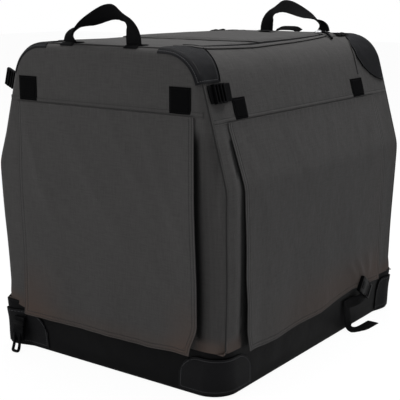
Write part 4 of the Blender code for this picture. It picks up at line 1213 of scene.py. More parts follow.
def hem_height(x, y):
    """The height of the walls' hem, which climbs over the ears of the tub."""
    left = math.hypot(x + BASE_HALF, y + DEPTH_HALF)
    near = math.hypot(x - BASE_HALF, y + DEPTH_HALF)
    return (WALL_HEM_Z + 0.011 * math.exp(-((left / 0.022) ** 2))
            - 0.007 * math.exp(-(((left - 0.050) / 0.025) ** 2))
            + 0.003 * math.exp(-((near / 0.030) ** 2)) + 0.0012 * ripple(x, y, 14, 2.0))


def hemmed(made):
    """Raises the lower part of a wall so that it ends at its hem."""
    for vert in made.data.vertices:
        x, y, z = vert.co
        share = 1 - eased(z, HEM_Z, HEM_Z + 0.075)
        vert.co.z = z + (hem_height(x, y) - HEM_Z) * share
        for (sx, sy), reach in HEM_FLARES.items():
            off = math.hypot(x - sx * BASE_HALF, y - sy * DEPTH_HALF)
            flare = reach * share * math.exp(-((off / 0.035) ** 2))
            vert.co.x += sx * flare
            vert.co.y += sy * flare
    return made


def make_end_wall(end, ey):
    left, right, low, high = opening_of(end)
    corner = 0.050
    centre = (0.0, (low + high) / 2)
    half = [OUTLINE.at(OUTLINE.length * i / 90) for i in range(91)]

    def closed(inset):
        """The wall's silhouette, drawn in from the round part but not from the hem."""
        right_side = [OUTLINE.at(OUTLINE.length * i / 90, -inset) for i in range(91)]
        right_side = [(x, max(z, HEM_Z)) for x, z in right_side]
        right_side[0] = (right_side[0][0], HEM_Z)
        whole = right_side + [(-x, z) for x, z in reversed(right_side)]
        return whole

    angles = [2 * math.pi * i / 240 for i in range(240)]
    start_x, start_z = half[0]
    corner_angle = math.atan2(start_z - centre[1], start_x - centre[0])
    angles = sorted(set(angles + [corner_angle % (2 * math.pi),
                                  (math.pi - corner_angle) % (2 * math.pi)]))
    rolls = 6
    rings = []
    for k in range(rolls + 1):
        turn = math.pi / 2 * k / rolls
        inset = EDGE_ROLL * (1 - math.cos(turn))
        spread = EDGE_ROLL * (math.pi / 2 - turn) - (EDGE_ROLL - inset)
        curve = closed(inset)
        flat = closed(inset - max(0.0, spread))
        y = SIDE_SEAM_Y + EDGE_ROLL * math.sin(turn)
        ring = []
        for angle in angles:
            x, z = hit(curve, angle, centre)
            u, v = hit(flat, angle, centre)
            at_hem = z < HEM_Z + 1e-4
            ring.append([x, DEPTH_HALF if at_hem else y, z, u, v])
        rings.append(ring)
    inner = []
    for angle in angles:
        reach = 0.0
        step = 0.4
        for _ in range(26):
            reach += step
            x = centre[0] + reach * math.cos(angle)
            z = centre[1] + reach * math.sin(angle)
            if box_distance(x, z, left, right, low, high, corner) > 0:
                reach -= step
            step /= 2
        inner.append((centre[0] + reach * math.cos(angle), centre[1] + reach * math.sin(angle)))
    steps = 22
    last = [list(p) for p in rings[-1]]
    for k in range(1, steps + 1):
        t = k / steps
        ring = []
        for j in range(len(angles)):
            x = last[j][0] + (inner[j][0] - last[j][0]) * t
            z = last[j][2] + (inner[j][1] - last[j][2]) * t
            near = min(1.0, 4 * t * (1 - t) + 0.15)
            seam = eased(abs(z - FRONT_SEAM_Z - 0.03), 0.030, 0.060)
            y = DEPTH_HALF + wall_dips(x, z, 2.0 + ey) * near * (0.25 + 0.75 * seam)
            ring.append([x, y, z, x, z])
        rings.append(ring)
    bm = bmesh.new()
    uv = bm.loops.layers.uv.new("cloth")
    edge = bm.verts.layers.float.new("edge")
    sewn = bm.verts.layers.float.new("sewn")
    shade = bm.verts.layers.float.new("shade")
    tint = bm.verts.layers.float.new("tint")
    rows = []
    for ring in rings:
        row = []
        for x, y, z, u, v in ring:
            vert = bm.verts.new((x, ey * y, z))
            vert[edge] = max(0.0, box_distance(x, z, left, right, low, high, corner))
            vert[sewn] = 1.0
            vert[shade] = slit_shade(x, z) if ey < 0 else 0.0
            vert[tint] = 0.9 * (1 - eased(z, 0.088, 0.140)) * eased(abs(x), 0.225, 0.245)
            row.append((vert, u, v))
        rows.append(row)
    count = len(angles)
    for first, second in zip(rows, rows[1:]):
        for j in range(count):
            k = (j + 1) % count
            corners = (first[j], first[k], second[k], second[j])
            face = bm.faces.new([c[0] for c in corners])
            for loop, c in zip(face.loops, corners):
                loop[uv].uv = (c[1], c[2])
    bmesh.ops.remove_doubles(bm, verts=bm.verts, dist=0.00002)
    bmesh.ops.recalc_face_normals(bm, faces=bm.faces)
    turned = sum(f.normal.y * ey * f.calc_area() for f in bm.faces)
    if turned < 0:
        bmesh.ops.reverse_faces(bm, faces=bm.faces)
    mesh = bpy.data.meshes.new(f"{end}_canvas")
    bm.to_mesh(mesh)
    bm.free()
    made = bpy.data.objects.new(f"{end}_canvas", mesh)
    bpy.context.collection.objects.link(made)
    applied(made, "SOLIDIFY", thickness=0.0018, offset=-1, use_quality_normals=True)
    smooth(made, 60)
    dressed(hemmed(made), FINISHES["canvas"], "base", [f"{end}_wall"])
    folding(made)


def make_side_wall(side, ex):
    half = SIDE_SEAM_Y - 0.0004
    top = ROOF_RUN
    made, _, _ = flat_grid(f"{side}_canvas", -half, half, 0.0, top, 0.0075)
    low_run = OUTLINE.run_at(SIDE_OPENING_LOW_Z)
    high_run = OUTLINE.run_at(SIDE_OPENING_HIGH_Z)

    def window(a, b):
        return box_distance(a, b, -SIDE_OPENING_HALF, SIDE_OPENING_HALF, low_run, high_run, 0.050)

    cut_window(made, window, 0.0045)

    def place(a, b):
        near = eased(half - abs(a), 0.0, 0.03) * eased(abs(window(a, b)), 0, 0.02)
        level = 1 - eased(b, top - 0.13, top - 0.02)
        z = OUTLINE.at(b)[1]
        square = 1 - 0.8 * (1 - eased(abs(z - 0.587), 0.028, 0.055)) * eased(abs(a), 0.16, 0.20)
        out = wall_dips(a, b, 6.0 + ex) * near * level * square
        if ex > 0:
            pad = math.exp(-(((a + 0.340) / 0.011) ** 2)) * eased(z, 0.11, 0.15)
            out += 0.0042 * pad * (1 - eased(z, 0.52, 0.56)) * (0.8 + 0.6 * ripple(z, 0, 25, 9.0))
        x, z = OUTLINE.at(b, out)
        return Vector((ex * x, a, z))

    def shade(a, b):
        z = OUTLINE.at(b)[1]
        if ex < 0 or z > 0.53:
            return 0.0
        edge = between(SIDE_EDGE, z) / (1 + BLOUSE * eased(z, 0.20, 0.43))
        wide = 0.0142 + 0.004 * (1 - eased(z, 0.085, 0.135))
        wide += (0.0020 + 0.006 * eased(z, 0.28, 0.36)) * ripple(z, 0, 30, 4.0)
        wide *= 1 - 0.55 * eased(z, 0.51, 0.53)
        return (1 - eased(edge - a, wide * 0.80, wide)) * (a < edge + 0.02)

    sewn_cloth(made, place, 0.0018, along_x(ex), edge=lambda a, b: max(0.0, window(a, b)),
               tint=lambda a, b: 0.8 * (1 - eased(b, 0.005, 0.055)), shade=shade)
    dressed(hemmed(made), FINISHES["canvas"], "base", [f"{side}_wall"])
    folding(made)
    2 * half * top - 0.47 * (high_run - low_run)


def make_walls():
    for end, ey in ENDS:
        make_end_wall(end, ey)
    for side, ex in SIDES:
        make_side_wall(side, ex)
    for end, ey in ENDS:
        points = [OUTLINE.at(OUTLINE.length * i / 70, -0.0006) for i in range(71)]
        whole = [
            Vector((x, ey * (SIDE_SEAM_Y + 0.0055), max(z, WALL_HEM_Z + 0.004 - 0.001 * i)))
            for i, (x, z) in enumerate(points)
        ]
        whole = [p for p in whole if p.z > WALL_HEM_Z]
        whole += [Vector((-p.x, p.y, p.z)) for p in reversed(whole)]
        folding(piping(f"{end}_corner_piping", whole, 0.0015, FINISHES["canvas_cord_painted_shade"], "base"))


def make_bindings():
    """Tape sewn round the doorway and the windows."""
    for end, ey in ENDS:
        left, right, low, high = opening_of(end)
        binding(f"{end}_opening_binding", left, right, low, high,
                lambda a, b, out, ey=ey: Vector((a, ey * (DEPTH_HALF - CLOTH / 2 + out), b)))
    low, high = OUTLINE.run_at(SIDE_OPENING_LOW_Z), OUTLINE.run_at(SIDE_OPENING_HIGH_Z)
    for side, ex in SIDES:
        def place(a, b, out, ex=ex):
            x, z = OUTLINE.at(b, out - CLOTH / 2)
            return Vector((ex * x, a, z))

        binding(f"{side}_window_binding", -SIDE_OPENING_HALF, SIDE_OPENING_HALF, low, high, place)


def binding(name, left, right, low, high, place):
    """A tape folded round the cut edge of an opening: a flattened tube along the edge."""
    line = []
    count = 220
    width, height, corner = right - left, high - low, 0.050
    runs = [height - 2 * corner, corner * math.pi / 2, width - 2 * corner, corner * math.pi / 2] * 2
    total = sum(runs)
    for i in range(count):
        run = total * i / count
        k = 0
        while run > runs[k]:
            run -= runs[k]
            k += 1
        if k == 0:
            line.append((right, low + corner + run, 1, 0))
        elif k == 2:
            line.append((right - corner - run, high, 0, 1))
        elif k == 4:
            line.append((left, high - corner - run, -1, 0))
        elif k == 6:
            line.append((left + corner + run, low, 0, -1))
        else:
            angle = run / corner + math.pi / 2 * (k // 2)
            ca = right - corner if k in (1, 7) else left + corner
            cb = high - corner if k in (1, 3) else low + corner
            line.append((ca + corner * math.cos(angle), cb + corner * math.sin(angle),
                         math.cos(angle), math.sin(angle)))
    shape = [(-0.0012, 0.0), (-0.0006, 0.0021), (0.0030, 0.0024), (0.0085, 0.0022),
             (0.0090, 0.0010), (0.0090, -0.0010), (0.0085, -0.0022), (0.0030, -0.0024),
             (-0.0006, -0.0021)]
    bm = bmesh.new()
    uv = bm.loops.layers.uv.new("cloth")
    rows = []
    for i, (a, b, na, nb) in enumerate(line):
        rows.append([bm.verts.new(place(a + na * d, b + nb * d, out)) for d, out in shape])
    for i in range(count):
        k = (i + 1) % count
        for m in range(len(shape)):
            n = (m + 1) % len(shape)
            face = bm.faces.new((rows[i][m], rows[i][n], rows[k][n], rows[k][m]))
            along = (total * i / count, total * (i + 1) / count)
            for loop, value in zip(face.loops, ((shape[m][0], along[0]), (shape[n][0], along[0]),
                                                (shape[n][0], along[1]), (shape[m][0], along[1]))):
                loop[uv].uv = value
    bmesh.ops.recalc_face_normals(bm, faces=bm.faces)
    mesh = bpy.data.meshes.new(name)
    bm.to_mesh(mesh)
    bm.free()
    made = bpy.data.objects.new(name, mesh)
    bpy.context.collection.objects.link(made)
    smooth(made, 50)
    dressed(made, FINISHES["webbing"], "base")
    return folding(made)


# Nets


def make_net(name, left, right, low, high, place, outwards, body, node, fold=True):
    made, _, _ = flat_grid(name, left, right, low, high, 0.012)
    cut_window(made, lambda a, b: box_distance(a, b, left, right, low, high, 0.0495), 0.007,
               inside=False)
    sewn_cloth(made, place, 0.0006, outwards)
    dressed(made, FINISHES["net"], body, [node])
    if fold:
        folding(made)
    high - low
    return made


def slack(a, b, left, right, low, high, depth):
    """A net's slack between its bound edges."""
    across = math.sin(math.pi * min(1, max(0, (a - left) / (right - left))))
    up = math.sin(math.pi * min(1, max(0, (b - low) / (high - low))))
    return -depth * (across * up) ** 0.7 + 0.0006 * ripple(a, b, 12, 8.0) * across * up


def make_nets():
    for end, ey in ENDS:
        left, right, low, high = opening_of(end)
        node = "front_door_net" if end == "front" else "rear_window_net"
        body = "front_door" if end == "front" else "base"

        def place(a, b, ey=ey, box=(left, right, low, high)):
            return Vector((a, ey * (DEPTH_HALF - 0.0010 + slack(a, b, *box, 0.0035)), b))

        made = make_net(f"{end}_net", left + 0.0005, right - 0.0005, low + 0.0005, high - 0.0005,
                        place, along_y(ey), body, node, fold=(end == "rear"))
        if end == "front":
            folding(made)
    low, high = OUTLINE.run_at(0.1505), OUTLINE.run_at(0.5295)
    for side, ex in SIDES:
        def place(a, b, ex=ex):
            x, z = OUTLINE.at(b, -0.0010 + slack(a, b, -0.2345, 0.2345, low, high, 0.0035))
            return Vector((ex * x, a, z))

        make_net(f"{side}_net", -0.2345, 0.2345, low, high, place, along_x(ex), "base",
                 f"{side}_window_net")
    half = ROOF_HOLE_HALF - 0.0005

    def overhead(a, b):
        return Vector((a, b, HEIGHT - 0.0008 + slack(a, b, -half, half, -0.1145, 0.2795, 0.003)))

    make_net("overhead_net", -half, half, -0.1145, 0.2795, overhead, upwards, "roof",
             "roof_net", fold=False)


# Flaps


def seam_pucker(a, v):
    """The small gathers that the seam pulls in a flap's head."""
    return 0.0005 * (1 + math.sin(a * 370 + 3 * ripple(a, 0, 9, 5.0))) * (1 - eased(v, 0, 0.05))


FRONT_CREASES = (
    # Soft creases in the cloth: start, end, width, height
    ((-0.225, 0.555), (-0.150, 0.330), 0.016, 0.0020),
    ((-0.120, 0.560), (0.050, 0.300), 0.022, 0.0022),
    ((0.020, 0.562), (0.140, 0.360), 0.018, 0.0018),
    ((0.110, 0.560), (0.215, 0.300), 0.018, 0.0020),
    ((-0.215, 0.420), (-0.100, 0.400), 0.008, 0.0014),
    ((-0.218, 0.392), (-0.120, 0.368), 0.009, 0.0014),
    ((-0.100, 0.180), (0.120, 0.120), 0.025, 0.0018),
    ((0.100, 0.260), (0.218, 0.200), 0.020, 0.0016),
    ((-0.210, 0.250), (-0.090, 0.150), 0.020, 0.0016),
)


def flap_sweep(u, v, flare):
    """How far the hanging cloth stands off the wall: slow folds and curling side edges."""
    folds = 0.0021 * (1 - math.cos(2 * math.pi * 3 * u)) / 2
    edges = flare * 0.5 * abs(2 * u - 1) ** 3
    return (folds + edges) * v ** 1.4


def make_end_flap(end, ey):
    sizes = bpy.context.scene.crate_sizes
    seam = FRONT_SEAM_Z
    foot = 0.083
    half = FLAP_HALF
    made, _, _ = flat_grid(f"{end}_flap_cloth", -half, half, foot, seam, 0.0055)

    def place(a, b):
        u = (a + half) / (2 * half)
        v = (seam - b) / (seam - foot)
        lift = 0.0012 + flap_sweep(u, v, sizes.flare)
        drawn = 0.0
        lower = 0.0
        if ey < 0:
            off = 0.010 * eased(v, 0.0, 0.35) * eased(u, 0.80, 1.0) ** 1.5
            lower = eased(v, 0.84, 1.0) * eased(u, 0.72, 1.0)
            drawn = 0.727 * (off + flap_sweep(u, v, sizes.flare)) * eased(u, 0.80, 1.0)
            drawn -= 0.019 * lower + 0.007 * v ** 2 * (1 - eased(u, 0.0, 0.12))
            lift += off + 1.5 * sum(crease(a, b, *c) for c in FRONT_CREASES)
        else:
            lift += sum(crease(-a, b, *c) for c in FRONT_CREASES[:5])
        body = 0.5 + 0.5 * ripple(a, b * 0.6, 9, 11.0 + ey)
        lift += 0.0022 * body ** 2 * eased(v, 0.0, 0.12)
        pucker = seam_pucker(a, v)
        hem = 0.0005 * (1 + math.sin(a * 2 * math.pi / 0.055 + 1.0)) * eased(v, 0.93, 1.0)
        hem += 0.0009 * (1 - eased(b, foot + 0.0090, foot + 0.0125))
        top = 0.0012 * (1 - eased(v, 0.0, 0.018))
        return Vector((a + drawn, ey * (DEPTH_HALF + lift + pucker + hem + top + 0.0010),
                       b + 0.010 * lower))

    def edge(a, b):
        return min(a + half, half - a, b - foot)

    def tint(a, b):
        corner = max(1 - eased(a, -half, -half + 0.15), eased(a, half - 0.10, half) * 0.9)
        if ey > 0:
            corner = 0.5
        return 0.80 * corner * (1 - eased(b, foot + 0.02, foot + 0.16)) + 0.45 * (
            1 - eased(b, foot, foot + 0.05))

    sewn_cloth(made, place, 0.0019, along_y(ey), edge=edge, tint=tint, degrees=70)
    dressed(made, FINISHES["canvas"], f"{end}_flap_body", [f"{end}_flap"])
    folding(made)
    return made


SIDE_CREASES = (
    ((-0.290, 0.540), (-0.200, 0.300), 0.018, 0.0011),
    ((-0.130, 0.545), (-0.020, 0.380), 0.022, 0.0009),
    ((0.080, 0.545), (0.030, 0.330), 0.024, 0.0009),
    ((0.262, 0.540), (0.180, 0.300), 0.020, 0.0010),
    ((-0.290, 0.200), (-0.100, 0.140), 0.022, 0.0010),
    ((0.020, 0.210), (0.250, 0.150), 0.026, 0.0009),
    ((0.275, 0.350), (0.140, 0.240), 0.020, 0.0008),
    ((0.178, 0.168), (0.212, 0.100), 0.009, 0.0040),
    ((0.140, 0.160), (0.190, 0.100), 0.010, 0.0028),
    ((0.226, 0.176), (0.232, 0.105), 0.010, 0.0030),
)
# Where the side flap's front edge hangs, by its height, and how high its hem is along it
SIDE_EDGE = ((0.080, -0.296), (0.130, -0.305), (0.190, -0.305), (0.250, -0.310), (0.310, -0.310),
             (0.360, -0.313), (0.410, -0.317), (0.478, -0.322), (0.557, -0.328))
SIDE_EDGE_REAR = 0.303
SIDE_HEM = ((-0.290, 0.092), (-0.240, 0.086), (-0.180, 0.083), (-0.080, 0.087), (0.010, 0.087),
            (0.085, 0.095), (0.163, 0.104), (0.265, 0.097), (0.303, 0.093))


def make_side_flap(side, ex):
    sizes = bpy.context.scene.crate_sizes
    top = OUTLINE.run_at(SIDE_FLAP_SEAM_Z)
    front, rear = SIDE_FLAP_FRONT, SIDE_FLAP_REAR
    made, _, _ = flat_grid(f"{side}_flap_cloth", front, rear, -0.002, top, 0.0058)

    def place(a, b):
        u = (a - front) / (rear - front)
        v = (top - b) / (top + 0.002)
        z = HEM_Z + b
        lift = 0.0012 + flap_sweep(u, v, sizes.flare)
        lift += sum(crease(a, z, *c) for c in SIDE_CREASES)
        lift += 0.0045 * eased(v, 0.2, 1.0) * (1 - eased(u, 0.0, 0.10))
        wide = 1 + BLOUSE * eased(z, 0.20, 0.43)
        drawn = (between(SIDE_EDGE, z) / wide - front) * (1 - eased(u, 0.0, 0.22))
        drawn += (SIDE_EDGE_REAR / wide - rear) * eased(u, 0.80, 1.0)
        body = 0.5 + 0.5 * ripple(a, z * 0.6, 9, 15.0 + ex)
        lift += 0.0022 * body ** 2 * eased(v, 0.0, 0.12)
        pucker = seam_pucker(a, v)
        head = 0.0012 * (1 - eased(v, 0.0, 0.018))
        rise = (between(SIDE_HEM, a) - 0.083) * eased(v, 0.70, 1.0)
        hem = 0.0009 * (1 - eased(b, 0.0070, 0.0105))
        x, height = OUTLINE.at(b + rise, lift + pucker + head + hem + 0.0010)
        return Vector((ex * x, a + drawn, height))

    def edge(a, b):
        return min(a - front, rear - a, b + 0.002)

    def tint(a, b):
        low = 1 - eased(b, 0.01, 0.13)
        far = eased(a, rear - 0.10, rear) * (1 - eased(b, 0.25, 0.40))
        return min(1.0, 0.70 * low * eased(a, -0.30, 0.06) + 0.25 * far * (0.3 + 0.7 * low))

    sewn_cloth(made, place, 0.0019, along_x(ex), edge=edge, tint=tint, degrees=70)
    dressed(made, FINISHES["canvas"], f"{side}_flap_body", [f"{side}_flap"])
    folding(made)
    top + 0.002
    return made


def make_flaps():
    for end, ey in ENDS:
        make_end_flap(end, ey)
    for side, ex in SIDES:
        make_side_flap(side, ex)
    for end, ey in ENDS:
        half = 0.258
        made, _, _ = flat_grid(f"{end}_seam_tape", -half, half, FRONT_SEAM_Z - 0.001,
                               FRONT_SEAM_Z + 0.0125, 0.0027)

        def place(a, b, ey=ey):
            up = (b - FRONT_SEAM_Z) / 0.0125
            out = 0.0010 * (1 - abs(2 * up - 1) ** 4) + 0.0003 * ripple(a, 0, 40, 3.0)
            end_in = 0.0012 * (1 - eased(half - abs(a), 0.0, 0.006))
            return Vector((a, ey * (DEPTH_HALF + max(0.0002, out - end_in)), b))

        sewn_cloth(made, place, 0.0008, along_y(ey),
                   edge=lambda a, b: min(abs(b - FRONT_SEAM_Z - 0.0022) + 0.0032,
                                         abs(b - FRONT_SEAM_Z - 0.0095) + 0.0032))
        dressed(made, FINISHES["canvas"], "end_seams")
        folding(made)
    low = OUTLINE.run_at(SIDE_FLAP_SEAM_Z)
    for side, ex in SIDES:
        half = SIDE_SEAM_Y - 0.003
        made, _, _ = flat_grid(f"{side}_seam_tape", -half, half, low - 0.001, low + 0.0125, 0.0027)

        def place(a, b, ex=ex):
            up = (b - low) / 0.0125
            out = 0.0010 * (1 - abs(2 * up - 1) ** 4) + 0.0003 * ripple(a, 0, 40, 6.0)
            end_in = 0.0012 * (1 - eased(half - abs(a), 0.0, 0.006))
            x, z = OUTLINE.at(b, max(0.0002, out - end_in))
            return Vector((ex * x, a, z))

        sewn_cloth(made, place, 0.0008, along_x(ex),
                   edge=lambda a, b: min(abs(b - low - 0.0022) + 0.0032,
                                         abs(b - low - 0.0095) + 0.0032))
        dressed(made, FINISHES["canvas"], f"{side}_seam")
        folding(made)


# Hook-and-loop squares


def make_square(name, middle, low, place, outwards, body, node, wide=0.052,
                tall=0.052):
    half, up = wide / 2, tall / 2
    made, _, _ = flat_grid(name, -half, half, -up, up, 0.0026)

    def on_wall(a, b):
        off = min(half - abs(a), up - abs(b))
        puff = 0.0009 + 0.0014 * math.sqrt(min(1.0, max(0.0, off) / 0.0030))
        puff -= 0.0007 * math.exp(-((off - 0.0036) / 0.0011) ** 2)
        curl = 0.0008 * max(0, ripple(a, b, 20, middle * 30))
        return place(middle + a * (1 - 0.004 * ripple(b, 0, 60, 2.0)), low + up + b,
                     puff + curl)

    sewn_cloth(made, on_wall, 0.0012, outwards, edge=lambda a, b: min(half - abs(a),
                                                                      up - abs(b)))
    dressed(made, FINISHES["velcro"], body, [node])
    return folding(made)


def make_squares():
    for end, ey in ENDS:
        for side, ex in SIDES:
            make_square(
                f"{end}_{side}_loop_square", ex * 0.205, FRONT_SEAM_Z + 0.004,
                lambda a, b, out, ey=ey: Vector((a, ey * (DEPTH_HALF + out), b)),
                along_y(ey), "end_seams", f"{end}_{side}_velcro",
            )
    low = OUTLINE.run_at(SIDE_FLAP_SEAM_Z) + 0.004
    for side, ex in SIDES:
        for place_name, middle, wide in (("near", -0.2670, 0.044), ("far", 0.2240, 0.056)):
            def place(a, b, out, ex=ex):
                x, z = OUTLINE.at(b, out)
                return Vector((ex * x, a, z))

            make_square(
                f"{side}_{place_name}_loop_square", middle, low, place, along_x(ex),
                f"{side}_seam", f"{side}_{place_name}_velcro", wide, 0.0430,
            )


# Shoulder patches


# How deep a shoulder patch is, in from its end, by the height up the shoulder
PATCH_DEPTHS = {
    "front": ((0.636, 0.0470), (0.667, 0.0555), (0.685, 0.0625), (0.695, 0.0700), (0.700, 0.0740)),
    "rear": ((0.590, 0.0080), (0.597, 0.0330), (0.607, 0.0570), (0.628, 0.0890), (0.650, 0.1060),
             (0.678, 0.1020), (0.692, 0.0800), (0.699, 0.0500), (0.700, 0.0370)),
}


def make_shoulders():
    """Tough patches over the round upper corners and their rolls, with a piped inner edge."""
    stop = OUTLINE.length - 0.004
    over = EDGE_ROLL * 1.19
    deep = 0.110

    for end, ey in ENDS:
        rows = PATCH_DEPTHS[end]
        start = OUTLINE.run_at(rows[0][0])

        def depth(run):
            if run >= OUTLINE.length - 0.034:
                fall = (run - OUTLINE.length + 0.034) / 0.030
                return rows[-1][1] * (1 - 0.12 * fall)
            return between(rows, OUTLINE.at(run)[1])

        for side, ex in SIDES:
            made, _, _ = flat_grid(f"{end}_{side}_shoulder", start, stop, -over, deep, 0.0032)
            cut_window(made, lambda a, b: b - depth(a), 0.0022, inside=False)

            def place(a, b, ex=ex, ey=ey):
                out = 0.0016 + 0.0007 * ripple(a, b, 34, 5.0 + ex + ey)
                out += 0.0008 * ripple(a, b * 0.5, 80, 2.0) * eased(b, -0.012, 0.01)
                turn = max(0.0, -b / EDGE_ROLL)
                x, z = OUTLINE.at(a, (EDGE_ROLL + out) * math.cos(turn) - EDGE_ROLL)
                y = SIDE_SEAM_Y - max(b, 0.0) + (EDGE_ROLL + out) * math.sin(turn)
                return Vector((ex * x, ey * y, z))

            sewn_cloth(made, place, 0.0014, from_centre,
                       edge=lambda a, b: min(depth(a) - b, b + over, a - start))
            dressed(made, FINISHES["patch"], "roof", [f"{end}_{side}_shoulder_patch"])
            folding(made)
            points = []
            for i in range(46):
                run = start + (stop - start) * i / 45
                x, z = OUTLINE.at(run, 0.0022)
                points.append(Vector((ex * x, ey * (SIDE_SEAM_Y - depth(run)), z)))
            folding(piping(f"{end}_{side}_shoulder_piping", points, 0.0011,
                           FINISHES["webbing_cord"], "roof"))


# Roof


def crown(x, y):
    """The roof's slack between its rails and hoops: it stands a little proud in the middle."""
    across = max(0.0, 1 - (x / ROOF_SEAM_X) ** 2)
    along = max(0.0, 1 - (y / SIDE_SEAM_Y) ** 4)
    return 0.0042 * across * along


# The zip's course from the front to the rear, on the right: x by y
ZIP_COURSE = ((-0.317, 0.140), (-0.306, 0.168), (-0.294, 0.184), (-0.235, 0.191), (-0.168, 0.195),
              (-0.132, 0.196), (-0.081, 0.194), (-0.025, 0.192), (0.041, 0.190), (0.120, 0.184),
              (0.212, 0.171), (0.262, 0.1500))


def on_roof(x, y, out):
    """A point out from the roof or its shoulder, as it lies before the cloth blouses."""
    centre_x, _, _ = shoulder_arc()
    turn = math.asin(min(0.99, max(0.0, abs(x) - centre_x) / SHOULDER_R))
    return Vector((x + math.copysign(out * math.sin(turn), x), y / (1 + BLOUSE),
                   roof_height(x) + out * math.cos(turn)))


def make_roof():
    edge = ROOF_EDGE_X
    end = SIDE_SEAM_Y - 0.0006
    half = ROOF_HOLE_HALF

    def hole(a, b):
        return box_distance(a, b, -half, half, -0.115, 0.280, 0.030)

    made, _, _ = flat_grid("roof_canvas", -edge, edge, -end, end, 0.0065)
    cut_window(made, hole, 0.004)

    def place(a, b):
        near = eased(hole(a, b), 0.0, 0.03)
        ruck = 0.0006 * ripple(a, b, 30, 7.0) + 0.0008 * ripple(a, b, 11, 4.0)
        return Vector((a, b, roof_height(a) + crown(a, b) * near * 0.6 + ruck * near))

    sewn_cloth(made, place, 0.0020, upwards, edge=lambda a, b: min(
        max(0.0, hole(a, b)), edge - abs(a), end - abs(b)))
    dressed(made, FINISHES["canvas"], "roof", ["roof_panel"])

    lap = 0.020
    made, _, _ = flat_grid("roof_cover", -half - lap, half + lap, -0.115 - lap, 0.280 + lap, 0.006)

    def outline(a, b):
        return box_distance(a, b, -half - lap, half + lap, -0.115 - lap, 0.280 + lap, 0.050)

    cut_window(made, outline, 0.004, inside=False)

    def cover(a, b):
        off = max(0.0, -outline(a, b))
        rise = 0.0024 + crown(a, b) * 0.9 * eased(off, 0, 0.03) + 0.0008 * eased(off, 0.0, 0.006)
        rise += 0.0009 * (0.5 + 0.5 * ripple(a, b, 16, 9.0)) * eased(off, 0.0, 0.02)
        y = b + 0.016 * (1 - eased(b, -0.135, -0.040))
        reach = between(ZIP_COURSE, y * (1 + BLOUSE)) - 0.0045
        made = on_roof(a / (half + lap) * reach, y, rise)
        return Vector((made.x, y, made.z))

    sewn_cloth(made, cover, 0.0018, upwards, edge=lambda a, b: -outline(a, b),
               shade=lambda a, b: 0.10)
    dressed(made, FINISHES["canvas"], "roof_flap_body", ["roof_flap"])


def make_side_seams():
    """A raised seam from the roof down beside each rear shoulder patch, and the zip's end tape."""
    for side, ex in SIDES:
        line = [on_roof(ex * 0.184, 0.268 + 0.050 * i / 12,
                        0.0034 + 0.0016 * math.sin(math.pi * i / 4)) for i in range(13)]
        tape = strap_mesh(f"{side}_zip_end_tape", line, [Vector((1, 0, -0.2 * ex))] * 13, 0.018,
                          0.0022)
        dressed(tape, FINISHES["webbing"], "roof")
        points = [on_roof(ex * x, y, 0.0004) for x, y in ((0.166, 0.332), (0.200, 0.296),
                                                          (0.228, 0.262), (0.245, 0.250))]
        low = OUTLINE.run_at(0.611)
        points += [Vector((ex * x, 0.2415, z)) for x, z in
                   (OUTLINE.at(low + 0.028, 0.0004), OUTLINE.at(low, 0.0004))]
        folding(piping(f"{side}_rear_seam", through(points, 40), 0.0013,
                       FINISHES["canvas_cord_painted_shade"], "roof"))


def make_zips():
    """A coil zip along the cover's edge on each side, with the folded tape outside it."""
    course = through([(x, y, 0) for y, x in ZIP_COURSE], 110)
    for side, ex in SIDES:
        for part, off, width, rise, finish in (
            ("fold", 0.0085, 0.0100, 0.0013, "canvas"),
            ("coil", 0.0, 0.0062, 0.0012, "coil"),
        ):
            centres = []
            wides = []
            for i, here in enumerate(course):
                along = (course[min(i + 1, 109)] - course[max(i - 1, 0)]).normalized()
                x = here.x + along.y * off + 0.0006 * ripple(here.y, 0, 9, 3.0 + ex)
                y = here.y - along.x * off
                low = on_roof(ex * x, y, 0.0002)
                up = (on_roof(ex * x, y, 0.01) - low).normalized()
                centres.append(low + up * rise)
                wides.append(Vector((along.x * ex, along.y, 0)).cross(up))
            made = strap_mesh(f"{side}_zip_{part}", centres, wides, width, rise + 0.0008,
                              columns=6)
            dressed(made, FINISHES[finish], "roof")


def make_slider():
    """A cast slider with a bridge and a moulded pull that lies on the roof."""
    x, y, low = ROOF_SEAM_X, 0.258, HEIGHT + 0.0046
    body = cast("roof_slider", (x, y - 0.0050, low + 0.0028), (0.0140, 0.0150, 0.0056), 0.0012)
    nose = cast("slider_nose", (x, y - 0.0118, low + 0.0017), (0.0052, 0.0050, 0.0030), 0.0008)
    bridge = cast("slider_bridge", (x, y - 0.0055, low + 0.0066), (0.0040, 0.0120, 0.0024), 0.0008)
    tab = cast("slider_tab", (x + 0.0120, y - 0.0140, low + 0.0036), (0.0160, 0.0220, 0.0030),
               0.0010)
    made = joined("roof_slider", [body, nose, bridge, tab])
    smooth(made, 35)
    dressed(made, FINISHES["zip"], "zip_slider", ["roof_zip_slider"])
    line = through([(x + 0.0180, y - 0.022, low + 0.0042), (x + 0.030, y - 0.026, low + 0.0030),
                    (x + 0.044, y - 0.036, low - 0.0014), (x + 0.061, y - 0.050, low - 0.0092)], 24)
    piping("slider_pull", line, 0.0030, FINISHES["plastic"], "zip_slider",
           sides=12)


# Moulded pieces


def cast(name, middle, size, radius):
    """A block added at its size and place, with rounded edges."""
    deselect()
    bpy.ops.mesh.primitive_cube_add(size=1, location=middle)
    made = bpy.context.object
    made.name = name
    made.scale = size
    settle(made)
    return applied(made, "BEVEL", width=radius, segments=3, limit_method="ANGLE")


def joined(name, parts):
    deselect()
    for part in parts:
        part.select_set(True)
    bpy.context.view_layer.objects.active = parts[0]
    if len(parts) > 1:
        bpy.ops.object.join()
    made = bpy.context.object
    made.name = name
    made.data.name = name
    return made


